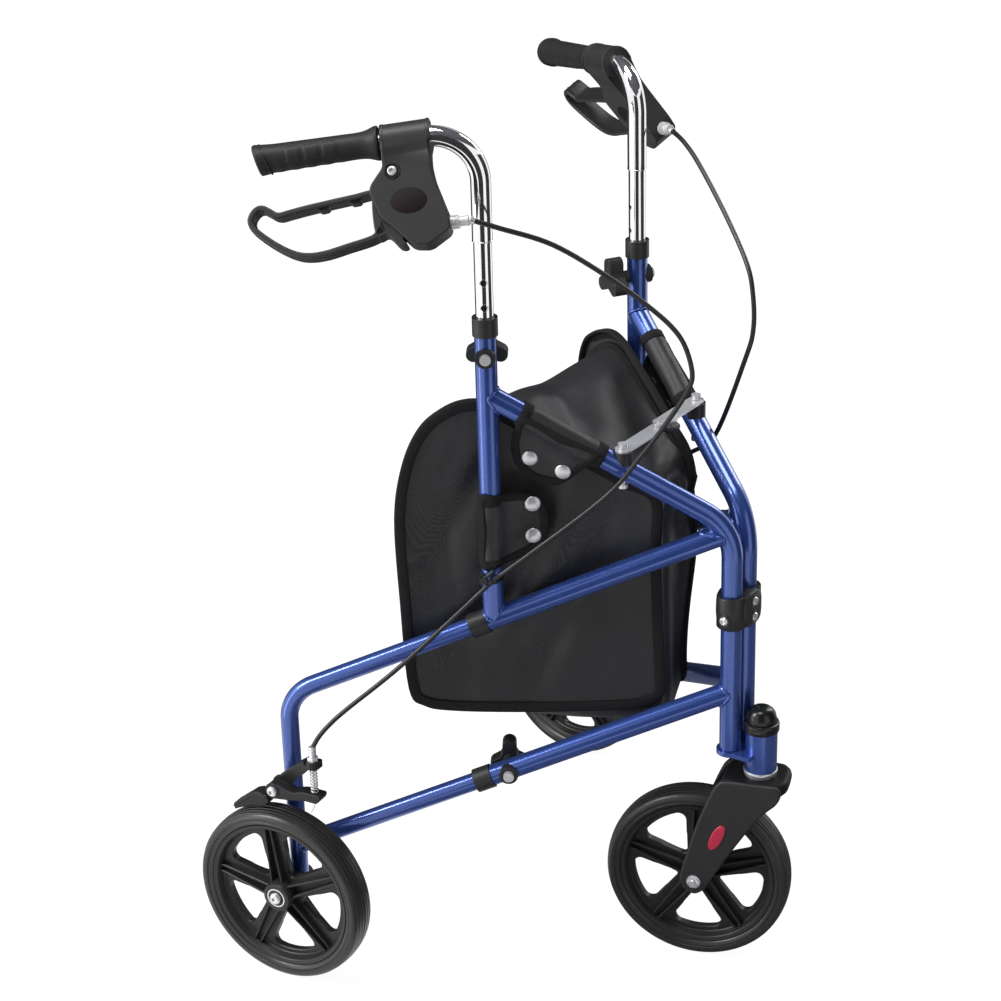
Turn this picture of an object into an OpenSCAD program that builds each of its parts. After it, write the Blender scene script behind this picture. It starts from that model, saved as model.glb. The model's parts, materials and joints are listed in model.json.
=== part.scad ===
// Three wheel rollator with height-set handles, loop brakes, a folding stay and a hanging bag.
// X runs to the walker's right, Y forwards and Z up, with the floor at zero.
// Each side frame is drawn flat: first its distance behind the front upright, then the height,
// then the offset towards the other frame.

/* [Stance] */
// Angle of each side frame to the walking line
splay_angle = 32; // [28:0.5:34]
// Half the distance between the two front uprights
hinge_half = 15; // [14:0.5:18]
// Outward turn of each rear wheel from straight ahead
toe_angle = 5.5; // [0:0.5:7]
// Swivel of the front wheel as it stands
caster_angle = 17.5; // [0:0.5:25]

/* [Front frame tubes] */
// Outer diameter of the front frame tubes
tube_d = 22; // [21.5:0.1:23]
// Wall of the front frame tubes
tube_wall = 1.4; // [1.3:0.1:1.5]
// Height of the corner where the upper tube meets the upright
knee_z = 508.5; // [500:0.5:516]
// Bend radius at that corner
knee_r = 60; // [56:1:64]
// Rise of the upper tube towards the post
upper_angle = 31; // [29:0.5:33]
// Height of the lower ends of the uprights
upright_foot_z = 256.5; // [254:0.5:262]
// Distance of the handle post behind the upright
post_u = 243.5; // [236:0.5:250]
// Height of the top of the post
post_top_z = 726; // [716:1:732]
// Fall of the middle and lower tubes towards the rear
rail_angle = 21.5; // [20:0.5:22.5]
// Height of the middle tube's line at the upright
middle_z = 505; // [500:0.5:508]
// Height of the lower tube's line at the upright
lower_z = 322.5; // [316:0.5:328]
// Distance of the rear ends of the middle and lower tubes behind the upright
rail_end_u = 258; // [254:0.5:264]

/* [Rear leg] */
// Outer diameter of the leg tubes
leg_d = 19; // [18.5:0.1:19]
// Wall of the leg tubes
leg_wall = 1.5; // [1.2:0.1:2]
// Distance of the leg behind the upright
leg_u = 461; // [450:1:470]
// Bend radius at the top of the leg
leg_bend_r = 42; // [36:1:48]
// Length of the leg tubes inside the front frame
leg_insert = 100; // [95:1:120]
// Length of the leg below the axle
leg_foot = 22; // [18:1:30]

/* [Handle] */
// Diameter of the handle tube above its shoulder
handle_d = 20; // [19.5:0.1:20.5]
// Diameter of the handle tube below its shoulder
shank_d = 18; // [17.5:0.1:18.5]
// Wall of the handle tube
handle_wall = 1.5; // [1.2:0.1:2]
// Height of the shoulder on the handle tube
shoulder_z = 812.5; // [812.5:0.5:820]
// Height of the lower end of the handle tube
shank_foot_z = 600; // [590:1:610]
// Height of the lock bolt through the post
lock_z = 696.5; // [690:0.5:700]
// Spacing of the height holes
hole_pitch = 25.4; // [24:0.1:26]
// Diameter of the height holes and bolt holes
hole_d = 6.2; // [6.1:0.1:6.5]
// Bend radius of the handle tube
handle_bend_r = 45; // [42:1:50]
// Fall of the grip towards the rear
grip_angle = 7.5; // [5:0.5:10]
// Distance of the front end of the grip behind the upright
grip_u = 337; // [332:1:345]
// Height of the grip's axis at its front end
grip_z = 910.5; // [905:0.5:916]
// Length of the grip
grip_l = 122; // [116:1:128]
// Largest diameter of the grip
grip_d = 34; // [32:0.5:36]

/* [Hand brake] */
// Outward tilt of the brake below the grip
brake_tilt = 31; // [25:1:36]
// Reach of the lever behind the front end of the grip
lever_l = 133; // [128:1:136]
// Drop of the lever's lowest edge below the grip's axis
lever_h = 105; // [103:1:107]
// Width of the lever's strip
lever_w = 22; // [18:0.5:23]
// Length of the housing ahead of the grip
housing_l = 58; // [57:0.5:59]
// Drop of the housing below the grip's axis
housing_h = 108; // [106:1:110]
// Thickness of the housing
housing_t = 28; // [27.5:0.5:30]
// Wall of the housing beside the lever
housing_wall = 2; // [1.6:0.1:2.2]
// Outer diameter of the housing's clamp around the handle tube
clamp_d = 35; // [34:0.5:36]
// Diameter of the lever's pin
lever_pin_d = 6; // [5:0.1:6.5]
// Diameter of the cable's cover
cable_d = 5; // [4:0.1:5.5]

/* [Wheels] */
// Diameter of the wheels
wheel_d = 200; // [198:0.5:201]
// Width of the tyres
tyre_w = 34; // [32:0.5:35]
// Height of the tyre's section
tyre_h = 16; // [14:0.5:18]
// Width of the rims at the tyre
rim_w = 30; // [26:0.5:31]
// Thickness of the rim's hoop
hoop_t = 10; // [8:0.5:12]
// Length of the hub
hub_l = 38; // [37:0.5:39]
// Diameter of the hub
hub_d = 34; // [31:0.5:37]
// Diameter of the axles
axle_d = 8; // [7:0.1:9]
// Outer diameter of the bearings
bearing_d = 22; // [20:0.1:24]
// Width of the bearings
bearing_w = 7; // [6:0.1:8]
// Number of spokes
spoke_count = 5; // [5:1:5]
// Width of a spoke
spoke_w = 22; // [18:0.5:24]
// Gap between the leg and the rear hub
leg_hub_gap = 1; // [0.6:0.1:1.5]

/* [Front fork] */
// Distance of the fork stem ahead of the uprights
stem_y = 29; // [28.5:0.1:30]
// Distance of the front axle behind the stem
trail = 65; // [62:1:68]
// Gap between the fork's blades
fork_gap = 40; // [39.5:0.1:41]
// Thickness of each blade
blade_t = 8; // [7:0.5:9]
// Height of the fork's top
crown_z = 226; // [225.5:0.5:230]
// Thickness of the fork's crown
crown_t = 20; // [18:0.5:21]
// Diameter of the fork stem
stem_d = 14; // [12:0.1:15]
// Diameter of the steering head
head_d = 34; // [33:0.5:35]
// Height of the top of the steering head
head_top_z = 272; // [270:0.5:276]
// Diameter of the cap's flange
cap_d = 37; // [36:0.5:38]
// Height of the cap
cap_h = 34; // [33:0.5:38]
// Top of the plate that carries the uprights
plate_z = 256; // [253.5:0.5:256]
// Thickness of that plate
plate_t = 5; // [4:0.1:6]
// Lower edge of the clamp that joins the uprights
hinge_clamp_z = 392; // [386:1:396]
// Height of that clamp
hinge_clamp_h = 47; // [40:1:50]

/* [Stay] */
// Distance of the stay's bolts behind the upright
stay_u = 110; // [106:0.5:114]
// Width of the stay's bars
stay_w = 16; // [14:0.5:18]
// Thickness of the stay's bars
stay_t = 3; // [2.5:0.1:3.5]
// Height of the lower stay bar
stay_z = 593; // [593:0.5:596]

/* [Bag] */
// Distance of the bag's front end behind the upright
bag_front_u = 68; // [64:1:76]
// Distance of the bag's rear end behind the upright
bag_rear_u = 341; // [330:1:344]
// Height of the bag's bottom
bag_foot_z = 297; // [290:1:304]
// Gap from the frame's middle plane to the bag's side
bag_side_gap = 13; // [12.5:0.1:15]
// Wall of the bag
bag_wall = 1.6; // [1.2:0.1:2]

/* [Hidden] */
$fn = 48;
// Radial gap of the sliding and turning fits
fit = 0.1;
// Radial room round a piece that is held fast
snug = 0.05;
// Hairline between the sections of a bent tube
seam = 0.02;
// Gap of a welded joint, filled by its bead
weld_gap = 0.2;
// Gap of the parts that pass each other freely
clear = 0.4;
// How far cuts run past a face
overrun = 1;
// How far, in degrees, the bore of a bend runs past its ends
turn_past = 1;
// Collars on the ends of the outer tubes
collar_d = 25.6;
collar_skirt = 9;
collar_lip = 10;
// Bolts, washers and knobs of the two locks on each side
bolt_d = 6;
bolt_head_d = 11;
bolt_head_h = 4;
washer_d = 20;
washer_h = 3;
lock_u = 232;
knob_d = 46;
knob_hub_d = 20;
knob_t = 16;
knob_stand = 9;
knob_lobe_d = 15;
knob_lobe_count = 3;
// Saddle under the stay
saddle_d = 20;
stay_nut_d = 10;
stay_nut_h = 5;
stay_gap = 0.5;
stay_rivet_d = 8;
stay_tab = 9;
// Hand brake pieces, from the front end of the grip
lever_pin_shares = [-0.105, 0.667];
clamp_screw_shares = [-0.165, 0.304];
clamp_screw_d = 8;
screw_recess_d = 15;
screw_recess = 3;
barrel_shares = [-1, 0.8];
barrel_d = 13;
barrel_l = 5;
barrel_nose_d = 9;
barrel_nose_l = 12;
grip_gap = 0.5;
// Rear brake pieces, from the leg's axis
pivot_h = 3;
pivot_rise = 24;
pivot_d = 8;
boss_d = 17;
bracket_w = 11;
bar_t = 16;
seat_h = -46;
seat_rise = 61;
seat_t = 9;
seat_l = 21;
seat_w = 15;
arm_gap = 0.6;
arm_w = 15;
tab_drop = 29;
tab_t = 11;
shoe_l = 55;
shoe_gap = 3.5;
shoe_tip = 6;
lower_barrel_d = 8;
lower_barrel_h = 16;
wire_d = 2;
// Return spring
spring_d = 8;
spring_wire_d = 1.6;
spring_curls = 8;
spring_rings = 8;
spring_sides = 6;
// Cable routes: distance behind the upright, height and offset towards the other frame
right_route = [[252, 847, -44.5], [226, 839, -45], [175, 821, -43], [123, 787, -39], [88, 759, -37],
    [63, 735, -35], [50, 714, -33], [43, 686, -31], [47, 668, -29], [64, 638, -26], [93, 596, -23],
    [133, 548, -21], [243, 459, -17], [335, 371, -24], [404, 310, -40], [428, 294.6, -45],
    [432.4, 288.4, -46.8]];
left_route = [[252, 847, -44.5], [226, 840, -46], [192, 824, -46], [131, 786, -44], [81, 749, -41],
    [62, 722, -38], [53, 688, -34], [62, 653, -30], [108, 556, -22], [161, 516, -20],
    [243, 459, -17], [335, 371, -24], [404, 310, -40], [428, 294.6, -45], [432.4, 288.4, -46.8]];
cable_steps = 5;
cable_sides = 8;

tube_r = tube_d / 2;
tube_in = tube_r - tube_wall;
leg_r = leg_d / 2;
handle_r = handle_d / 2;
shank_r = shank_d / 2;
axle_z = wheel_d / 2;
tyre_seat_d = wheel_d - 2 * tyre_h;
hoop_d = tyre_seat_d - 2 * hoop_t;
rail_slope = tan(rail_angle);
knee_turn = 90 - upper_angle;
knee_leg = knee_r * tan(knee_turn / 2);
knee_dip = knee_r * (1 - cos(knee_turn / 2));
upper_slope = tan(upper_angle);
rail_turn = 90 - rail_angle;
axle_turn = splay_angle - toe_angle;
hub_face = hub_l / 2;
wheel_a = leg_r + leg_hub_gap + hub_face;
wheel_side_u = leg_u + wheel_a * sin(axle_turn);
wheel_side_n = wheel_a * cos(axle_turn);
rear_wheel_y = wheel_side_n * sin(splay_angle) - wheel_side_u * cos(splay_angle);
caster_y = stem_y - trail * cos(caster_angle);
tread_share = 0.62;
rear_reach = rear_wheel_y - axle_z * cos(toe_angle) - tread_share * tyre_w / 2 * sin(toe_angle);
front_reach = caster_y + axle_z * cos(caster_angle) + tread_share * tyre_w / 2 * sin(caster_angle);
// Moves the part so that its middle stands over the origin
centre_y = -(rear_reach + front_reach) / 2;

paint = [0.13, 0.2, 0.55];
black = [0.09, 0.09, 0.1];
bright = [0.8, 0.81, 0.83];

// Frames of reference

module right_side() {
    translate([hinge_half, centre_y, 0])
        rotate([0, 0, splay_angle])
            rotate([90, 0, -90])
                children();
}

module left_side() {
    mirror([1, 0, 0])
        right_side()
            children();
}

module at_leg() {
    translate([leg_u, 0, 0])
        rotate([0, -axle_turn, 0])
            children();
}

module at_rear_wheel() {
    at_leg()
        translate([0, axle_z, -wheel_a])
            children();
}

module at_brake() {
    translate([grip_u, grip_z, 0])
        rotate([180 + brake_tilt, 0, -grip_angle])
            children();
}

module at_stem() {
    translate([0, stem_y + centre_y, 0])
        rotate([0, 0, caster_angle])
            children();
}

module at_front_wheel() {
    at_stem()
        translate([0, -trail, axle_z])
            rotate([0, -90, 0])
                rotate([0, 0, -90])
                    children();
}

// Shared shapes

function stretch(points, size) = [for (p = points) [p.x * size.x, p.y * size.y]];
function rail_at(z, u) = z - u * rail_slope;
function upper_at(u) = knee_z + u * upper_slope;

module rod(from, angle, l, r) {
    translate([from.x, from.y, 0])
        rotate([0, 0, angle])
            rotate([0, 90, 0])
                cylinder(h = l, r = r);
}

module hoop(r_out, r_in) {
    difference() {
        circle(r = r_out);
        circle(r = r_in);
    }
}

module pipe(from, angle, l, r_out, r_in) {
    translate([from.x, from.y, 0])
        rotate([0, 0, angle])
            rotate([0, 90, 0])
                linear_extrude(height = l)
                    hoop(r_out, r_in);
}

module bent_rod(bend_r, turn, r) {
    rotate_extrude(angle = turn)
        translate([bend_r, 0])
            circle(r = r);
}

module bent_pipe(bend_r, turn, r_out, r_in) {
    difference() {
        bent_rod(bend_r, turn, r_out);
        rotate([0, 0, -turn_past])
            bent_rod(bend_r, turn + 2 * turn_past, r_in);
    }
}

module upright_pipe(u, from_z, to_z, r_out, r_in) {
    translate([u, from_z, 0])
        rotate([-90, 0, 0])
            linear_extrude(height = to_z - from_z)
                hoop(r_out, r_in);
}

module upright_rod(u, from_z, to_z, r) {
    translate([u, from_z, 0])
        rotate([-90, 0, 0])
            cylinder(h = to_z - from_z, r = r);
}

module cross_hole(u, z, d) {
    translate([u, z, -washer_d])
        cylinder(h = 2 * washer_d, d = d);
}

module slab(points, from, to) {
    translate([0, 0, from])
        linear_extrude(height = to - from)
            polygon(points);
}

// Front frame of one side

knee_start = (knee_leg + seam) * [cos(upper_angle), sin(upper_angle)] + [0, knee_z];
upper_l = post_u / cos(upper_angle) - knee_leg - seam;

module at_knee() {
    translate([knee_r, knee_z - knee_leg, 0])
        rotate([0, 0, 90 + upper_angle])
            children();
}

module upper_rod(r) {
    rod(knee_start, upper_angle, upper_l, r);
}

module main_tube() {
    color(paint) {
        difference() {
            pipe(knee_start, upper_angle, upper_l, tube_r, tube_in);
            upright_rod(post_u, upper_at(0), post_top_z, tube_r + weld_gap);
            stay_hole();
        }
        at_knee()
            bent_pipe(knee_r, knee_turn, tube_r, tube_in);
        upright_pipe(0, upright_foot_z, knee_z - knee_leg - seam, tube_r, tube_in);
    }
}

module stay_hole() {
    upright_rod(stay_u, upper_at(stay_u) - tube_d, stay_z, hole_d / 2);
}

module post_tube() {
    color(paint)
        difference() {
            upright_rod(post_u, rail_at(middle_z, post_u), post_top_z, tube_r);
            upright_rod(post_u, rail_at(middle_z, post_u) - overrun, post_top_z + overrun, shank_r + fit);
            rail_rod(middle_z, knee_dip, rail_end_u, tube_r + weld_gap);
            cross_hole(post_u, lock_z, hole_d);
        }
}

module rail_rod(z, from_u, to_u, r) {
    rod([from_u, rail_at(z, from_u)], -rail_angle, (to_u - from_u) / cos(rail_angle), r);
}

module middle_tube() {
    color(paint)
        difference() {
            rail_rod(middle_z, knee_dip, rail_end_u, tube_r);
            rail_rod(middle_z, knee_dip - overrun, rail_end_u + overrun, leg_r + fit);
            at_knee()
                bent_rod(knee_r, knee_turn, tube_r + weld_gap);
        }
}

module lower_tube() {
    color(paint)
        difference() {
            rail_rod(lower_z, 0, rail_end_u, tube_r);
            rail_rod(lower_z, -overrun, rail_end_u + overrun, leg_r + fit);
            upright_rod(0, upright_foot_z, knee_z, tube_r + weld_gap);
            cross_hole(lock_u, rail_at(lower_z, lock_u), hole_d);
        }
}

module collar(bore_r) {
    difference() {
        translate([0, 0, -collar_skirt])
            cylinder(h = collar_skirt + collar_lip, d = collar_d);
        translate([0, 0, -collar_skirt - overrun])
            cylinder(h = collar_skirt + overrun, r = tube_r + snug);
        cylinder(h = collar_lip + overrun, r = bore_r);
    }
}

module rail_collar(z) {
    translate([rail_end_u, rail_at(z, rail_end_u), 0])
        rotate([0, 0, -rail_angle])
            rotate([0, 90, 0])
                collar(leg_r + fit);
}

module lock_washer(u, z) {
    translate([u, z, -tube_r - washer_h])
        difference() {
            cylinder(h = tube_r + washer_h, d = washer_d);
            translate([0, 0, -overrun])
                cylinder(h = washer_d + overrun, d = hole_d);
        }
}

module tube_collars() {
    color(black) {
        translate([post_u, post_top_z, 0])
            rotate([-90, 0, 0])
                collar(shank_r + fit);
        difference() {
            rail_collar(middle_z);
            upright_rod(post_u, rail_at(middle_z, post_u), post_top_z, tube_r + weld_gap);
        }
        rail_collar(lower_z);
        difference() {
            lock_washer(post_u, lock_z);
            upright_rod(post_u, lock_z - washer_d, lock_z + washer_d, tube_r);
        }
        difference() {
            lock_washer(lock_u, rail_at(lower_z, lock_u));
            rail_rod(lower_z, 0, rail_end_u, tube_r);
        }
    }
}

module stay_saddle(top_z) {
    difference() {
        upright_rod(stay_u, upper_at(stay_u), top_z, saddle_d / 2);
        upper_rod(tube_r + snug);
        upright_rod(stay_u, upper_at(stay_u) - overrun, top_z + overrun, hole_d / 2);
    }
}

module lock_bolt(u, z, core_r) {
    translate([u, z, -tube_r - washer_h - bolt_head_h])
        union() {
            cylinder(h = bolt_head_h, d = bolt_head_d);
            cylinder(h = tube_r + washer_h + bolt_head_h - core_r - clear, d = bolt_d);
        }
}

module frame_bolts(link_z) {
    tail_z = upper_at(stay_u) - tube_r / cos(upper_angle) - bolt_head_h;
    nut_z = link_z + stay_t + clear;
    color(bright) {
        lock_bolt(post_u, lock_z, shank_r);
        lock_bolt(lock_u, rail_at(lower_z, lock_u), leg_r);
        union() {
            upright_rod(stay_u, tail_z, nut_z + stay_nut_h, bolt_d / 2);
            upright_rod(stay_u, nut_z, nut_z + stay_nut_h, stay_nut_d / 2);
            upright_rod(stay_u, tail_z - bolt_head_h, tail_z, stay_nut_d / 2);
        }
    }
}

module star_knob(core_r) {
    lobe_place = (knob_d - knob_lobe_d) / 2;
    stud_in = core_r + clear;
    translate([0, 0, stud_in])
        cylinder(h = tube_r + knob_stand - stud_in, d = bolt_d);
    translate([0, 0, tube_r + clear])
        cylinder(h = knob_stand, d = knob_hub_d / 2 + bolt_d / 2);
    translate([0, 0, tube_r + knob_stand])
        linear_extrude(height = knob_t)
            union() {
                circle(d = knob_hub_d);
                for (k = [0:knob_lobe_count - 1])
                    rotate(90 + k * 360 / knob_lobe_count)
                        union() {
                            translate([lobe_place, 0])
                                circle(d = knob_lobe_d);
                            translate([0, -knob_lobe_d / 2])
                                square([lobe_place, knob_lobe_d]);
                        }
            }
}

module handle_knob() {
    color(black)
        translate([post_u, lock_z, 0])
            star_knob(shank_r);
}

module leg_knob() {
    color(black)
        translate([lock_u, rail_at(lower_z, lock_u), 0])
            star_knob(leg_r);
}

// Cable along its route

function spline(a, b, c, d, t) = 0.5 * (2 * b + (c - a) * t + (2 * a - 5 * b + 4 * c - d) * t * t
    + (3 * b - a - 3 * c + d) * t * t * t);
function route(p) = let (n = len(p) - 1)
    [for (k = [0:n - 1], j = [0:cable_steps - 1])
        spline(p[max(k - 1, 0)], p[k], p[k + 1], p[min(k + 2, n)], j / cable_steps), p[n]];
function unit(v) = v / norm(v);
function tangent(p, k) = unit(p[min(k + 1, len(p) - 1)] - p[max(k - 1, 0)]);
function ring(p, k, r, sides) =
    let (t = tangent(p, k), a = unit(cross(t, [0, 0, 1])), b = cross(a, t))
    [for (j = [0:sides - 1]) p[k] + r * (cos(360 * j / sides) * a + sin(360 * j / sides) * b)];
function tube_points(p, r, sides) =
    concat([for (k = [0:len(p) - 1]) each ring(p, k, r, sides)], [p[0], p[len(p) - 1]]);
function tube_faces(n, sides) = concat(
    [for (k = [0:n - 2], j = [0:sides - 1]) let (i = (j + 1) % sides)
        [k * sides + j, (k + 1) * sides + i, k * sides + i]],
    [for (k = [0:n - 2], j = [0:sides - 1]) let (i = (j + 1) % sides)
        [k * sides + j, (k + 1) * sides + j, (k + 1) * sides + i]],
    [for (j = [0:sides - 1]) [n * sides, j, (j + 1) % sides]],
    [for (j = [0:sides - 1]) [n * sides + 1, (n - 1) * sides + (j + 1) % sides, (n - 1) * sides + j]]);

module swept(p, r, sides) {
    polyhedron(points = tube_points(p, r, sides), faces = tube_faces(len(p), sides));
}

module brake_cable(points) {
    color(black)
        swept(route(points), cable_d / 2, cable_sides);
}

// Handle and hand brake of one side

handle_corner_z = grip_z + (grip_u - post_u) * tan(grip_angle);
handle_turn = 90 + grip_angle;
handle_leg = handle_bend_r * tan(handle_turn / 2);

handle_start = (handle_leg + seam) * [cos(grip_angle), -sin(grip_angle)] + [post_u, handle_corner_z];
// Straight length of the handle tube ahead of the grip
bar_ahead = (grip_u - handle_start.x) / cos(grip_angle);
grip_end_t = 8;
grip_bore = grip_l - grip_end_t;

module at_handle_bend() {
    translate([post_u + handle_bend_r, handle_corner_z - handle_leg, 0])
        rotate([0, 0, 90 - grip_angle])
            children();
}

module handle_tube() {
    bore = shank_r - handle_wall;
    bar_l = bar_ahead + grip_bore;
    hole_span = [-2:3];
    color(bright)
        difference() {
            union() {
                upright_pipe(post_u, shank_foot_z, shoulder_z, shank_r, bore);
                upright_pipe(post_u, shoulder_z, handle_corner_z - handle_leg - seam, handle_r, bore);
                at_handle_bend()
                    bent_pipe(handle_bend_r, handle_turn, handle_r, bore);
                pipe(handle_start, -grip_angle, bar_l, handle_r, bore);
            }
            for (k = hole_span)
                cross_hole(post_u, lock_z + k * hole_pitch, hole_d);
        }
}

// Radii of the grip from front to rear, with their places, as shares
grip_shares = [[0, 0.94], [0.012, 1], [0.05, 1], [0.1, 0.92], [0.2, 0.82], [0.3, 0.8], [0.42, 0.84],
    [0.5, 0.85], [0.7, 0.86], [0.9, 0.88], [0.98, 0.9], [1, 0.84]];

module grip() {
    body = [for (p = grip_shares) [p.y * grip_d / 2, grip_gap + p.x * (grip_l - grip_gap)]];
    color(black)
        at_brake()
            rotate([0, 90, 0])
                rotate_extrude()
                    polygon(concat(body,
                        [[0, grip_l], [0, grip_bore], [handle_r + snug, grip_bore],
                            [handle_r + snug, grip_gap]]));
}

housing_shares = [[-0.02, 0], [-0.83, 0], [-0.8, 0.28], [-0.83, 0.42], [-1, 0.76], [-1, 0.89], [-0.6, 1],
    [-0.34, 0.975], [-0.12, 0.81], [0.1, 0.7], [0.25, 0.445], [-0.02, 0.25]];
pocket_shares = [[0.6, 0.31], [-0.35, 0.42], [-0.62, 0.62], [-0.55, 0.86], [-0.36, 1.1], [0.6, 1.1]];

module brake_housing() {
    color(black)
        difference() {
            at_brake()
                housing_shell();
            at_handle_bend()
                bent_rod(handle_bend_r, handle_turn, handle_r + clear);
        }
}

module housing_shell() {
    pocket = housing_t / 2 - housing_wall;
    size = [housing_l, housing_h];
    pin = [lever_pin_shares.x * lever_l, lever_pin_shares.y * lever_h];
    difference() {
        union() {
            slab(stretch(housing_shares, size), -housing_t / 2, housing_t / 2);
            translate([housing_shares[1].x * housing_l, 0, 0])
                rotate([0, 90, 0])
                    cylinder(h = (housing_shares[0].x - housing_shares[1].x) * housing_l, d = clamp_d);
        }
        slab(stretch(pocket_shares, size), -pocket, pocket);
        translate([-bar_ahead - overrun, 0, 0])
            rotate([0, 90, 0])
                cylinder(h = bar_ahead + 2 * overrun, r = handle_r + snug);
        translate([clamp_screw_shares.x * housing_l, clamp_screw_shares.y * housing_h,
            housing_t / 2 - screw_recess])
            cylinder(h = screw_recess + overrun, d = screw_recess_d);
        translate([pin.x, pin.y, -housing_t])
            cylinder(h = 2 * housing_t, d = lever_pin_d + 2 * snug);
    }
}

module housing_fittings() {
    pin = [lever_pin_shares.x * lever_l, lever_pin_shares.y * lever_h];
    color(bright)
        at_brake() {
            translate([pin.x, pin.y, -housing_t / 2])
                cylinder(h = housing_t, d = lever_pin_d);
            translate([clamp_screw_shares.x * housing_l, clamp_screw_shares.y * housing_h,
                housing_t / 2 - screw_recess])
                cylinder(h = screw_recess, d = clamp_screw_d);
            translate([barrel_shares.x * housing_l, barrel_shares.y * housing_h, 0])
                rotate([0, -90, 0])
                    union() {
                        cylinder(h = barrel_l, d = barrel_d);
                        cylinder(h = barrel_l + barrel_nose_l, d = barrel_nose_d);
                    }
        }
}

lever_shares = [[0.12, 0.45], [0.68, 0.505], [0.77, 0.525], [0.84, 0.455], [0.895, 0.435], [0.96, 0.48],
    [1, 0.57], [0.95, 0.695], [0.81, 0.855], [0.69, 0.95], [0.585, 0.99], [0.45, 0.98], [0.135, 0.915],
    [0.06, 0.84], [0, 0.91], [-0.075, 1], [-0.12, 1], [-0.105, 0.915], [-0.165, 0.8], [-0.195, 0.667],
    [-0.15, 0.55], [-0.04, 0.47]];
loop_shares = [[0.16, 0.545], [0.45, 0.57], [0.68, 0.595], [0.735, 0.625], [0.81, 0.6], [0.87, 0.555],
    [0.91, 0.59], [0.885, 0.665], [0.78, 0.8], [0.675, 0.875], [0.57, 0.905], [0.435, 0.895],
    [0.21, 0.855], [0.12, 0.765], [0.11, 0.63]];

module brake_lever() {
    size = [lever_l, lever_h];
    color(black)
        at_brake()
            difference() {
                slab(stretch(lever_shares, size), -lever_w / 2, lever_w / 2);
                slab(stretch(loop_shares, size), -lever_w, lever_w);
                translate([lever_pin_shares.x * lever_l, lever_pin_shares.y * lever_h, -lever_w])
                    cylinder(h = 2 * lever_w, d = lever_pin_d + 2 * fit);
            }
}

// Rear leg of one side

leg_corner_z = rail_at(middle_z, leg_u);
leg_tangent = leg_bend_r * tan(rail_turn / 2);

leg_start = [rail_end_u - leg_insert, rail_at(middle_z, rail_end_u - leg_insert)];
leg_rail_l = (leg_u - leg_start.x) / cos(rail_angle) - leg_tangent - seam;

module axle_hole() {
    at_leg()
        translate([0, axle_z, -wheel_d])
            cylinder(h = 2 * wheel_d, d = axle_d + 2 * snug);
}

module rear_leg() {
    color(paint)
        difference() {
            union() {
                pipe(leg_start, -rail_angle, leg_rail_l, leg_r, leg_r - leg_wall);
                translate([leg_u - leg_bend_r, leg_corner_z - leg_tangent, 0])
                    bent_pipe(leg_bend_r, rail_turn, leg_r, leg_r - leg_wall);
                upright_pipe(leg_u, axle_z - leg_foot, leg_corner_z - leg_tangent - seam, leg_r,
                    leg_r - leg_wall);
            }
            axle_hole();
        }
}

module leg_brace() {
    from_u = rail_end_u - leg_insert;
    color(paint)
        difference() {
            rail_rod(lower_z, from_u, leg_u, leg_r);
            rail_rod(lower_z, from_u - overrun, leg_u + overrun, leg_r - leg_wall);
            upright_rod(leg_u, axle_z - leg_foot, leg_corner_z, leg_r + weld_gap);
        }
}

pivot_z = wheel_d + pivot_rise;
seat_z = wheel_d + seat_rise;
module brake_bracket() {
    arm_to = leg_r + bracket_w;
    bar_in = leg_r / 2;
    rise = seat_z + seat_t / 2 - pivot_z;
    bar_run = pivot_h - seat_h - seat_l / 2;
    color(black)
        at_leg()
            difference() {
                union() {
                    translate([pivot_h, pivot_z, -arm_to])
                        cylinder(h = arm_to - bar_in, d = boss_d);
                    translate([pivot_h, pivot_z, 0])
                        slab([[0, -bar_t / 2], [bar_t / 2, 0], [0, bar_t / 2],
                            [-bar_run, rise + seat_t / 2], [seat_h - pivot_h, rise + seat_t / 2],
                            [seat_h - pivot_h, rise - seat_t / 2], [-bar_run, rise - seat_t / 2]],
                            -arm_to, -bar_in);
                    upright_wire(seat_z, seat_z + seat_t, seat_w / 2);
                    translate([seat_h - seat_w / 2, seat_z, -wheel_a])
                        cube([seat_w, seat_t, wheel_a - bar_in]);
                }
                upright_rod(0, pivot_z - leg_d, seat_z + leg_d, leg_r + snug);
                translate([pivot_h, pivot_z, -wheel_d])
                    cylinder(h = 2 * wheel_d, d = pivot_d + 2 * snug);
                upright_wire(seat_z - overrun, seat_z + seat_t + overrun, lower_barrel_d / 2 + snug);
            }
}

module upright_wire(from_z, to_z, r) {
    translate([seat_h, from_z, -wheel_a])
        rotate([-90, 0, 0])
            cylinder(h = to_z - from_z, r = r);
}

module leg_fasteners() {
    reach = wheel_a + hub_face;
    arm_to = leg_r + bracket_w + arm_gap + arm_w;
    color(bright)
        at_leg() {
            translate([0, axle_z, -reach - bolt_head_h - clear])
                union() {
                    cylinder(h = bolt_head_h, d = axle_d + bolt_d);
                    cylinder(h = reach + leg_d + bolt_head_h + clear, d = axle_d);
                }
            difference() {
                translate([0, axle_z, leg_r / 2])
                    cylinder(h = leg_r / 2 + bolt_head_h, d = axle_d + bolt_d);
                upright_rod(0, axle_z - leg_d, axle_z + leg_d, leg_r + snug);
                translate([0, axle_z, 0])
                    cylinder(h = leg_d, d = axle_d);
            }
            translate([pivot_h, pivot_z, -arm_to - clear - bolt_head_h])
                union() {
                    cylinder(h = bolt_head_h, d = pivot_d + bolt_head_h);
                    cylinder(h = bolt_head_h + clear + arm_to - leg_r, d = pivot_d);
                }
            difference() {
                upright_wire(seat_z, seat_z + seat_t + lower_barrel_h, lower_barrel_d / 2);
                upright_wire(seat_z - overrun, seat_z + seat_t + overrun, wire_d / 2 + fit);
            }
        }
}

tab_z = seat_z - tab_drop;

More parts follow.
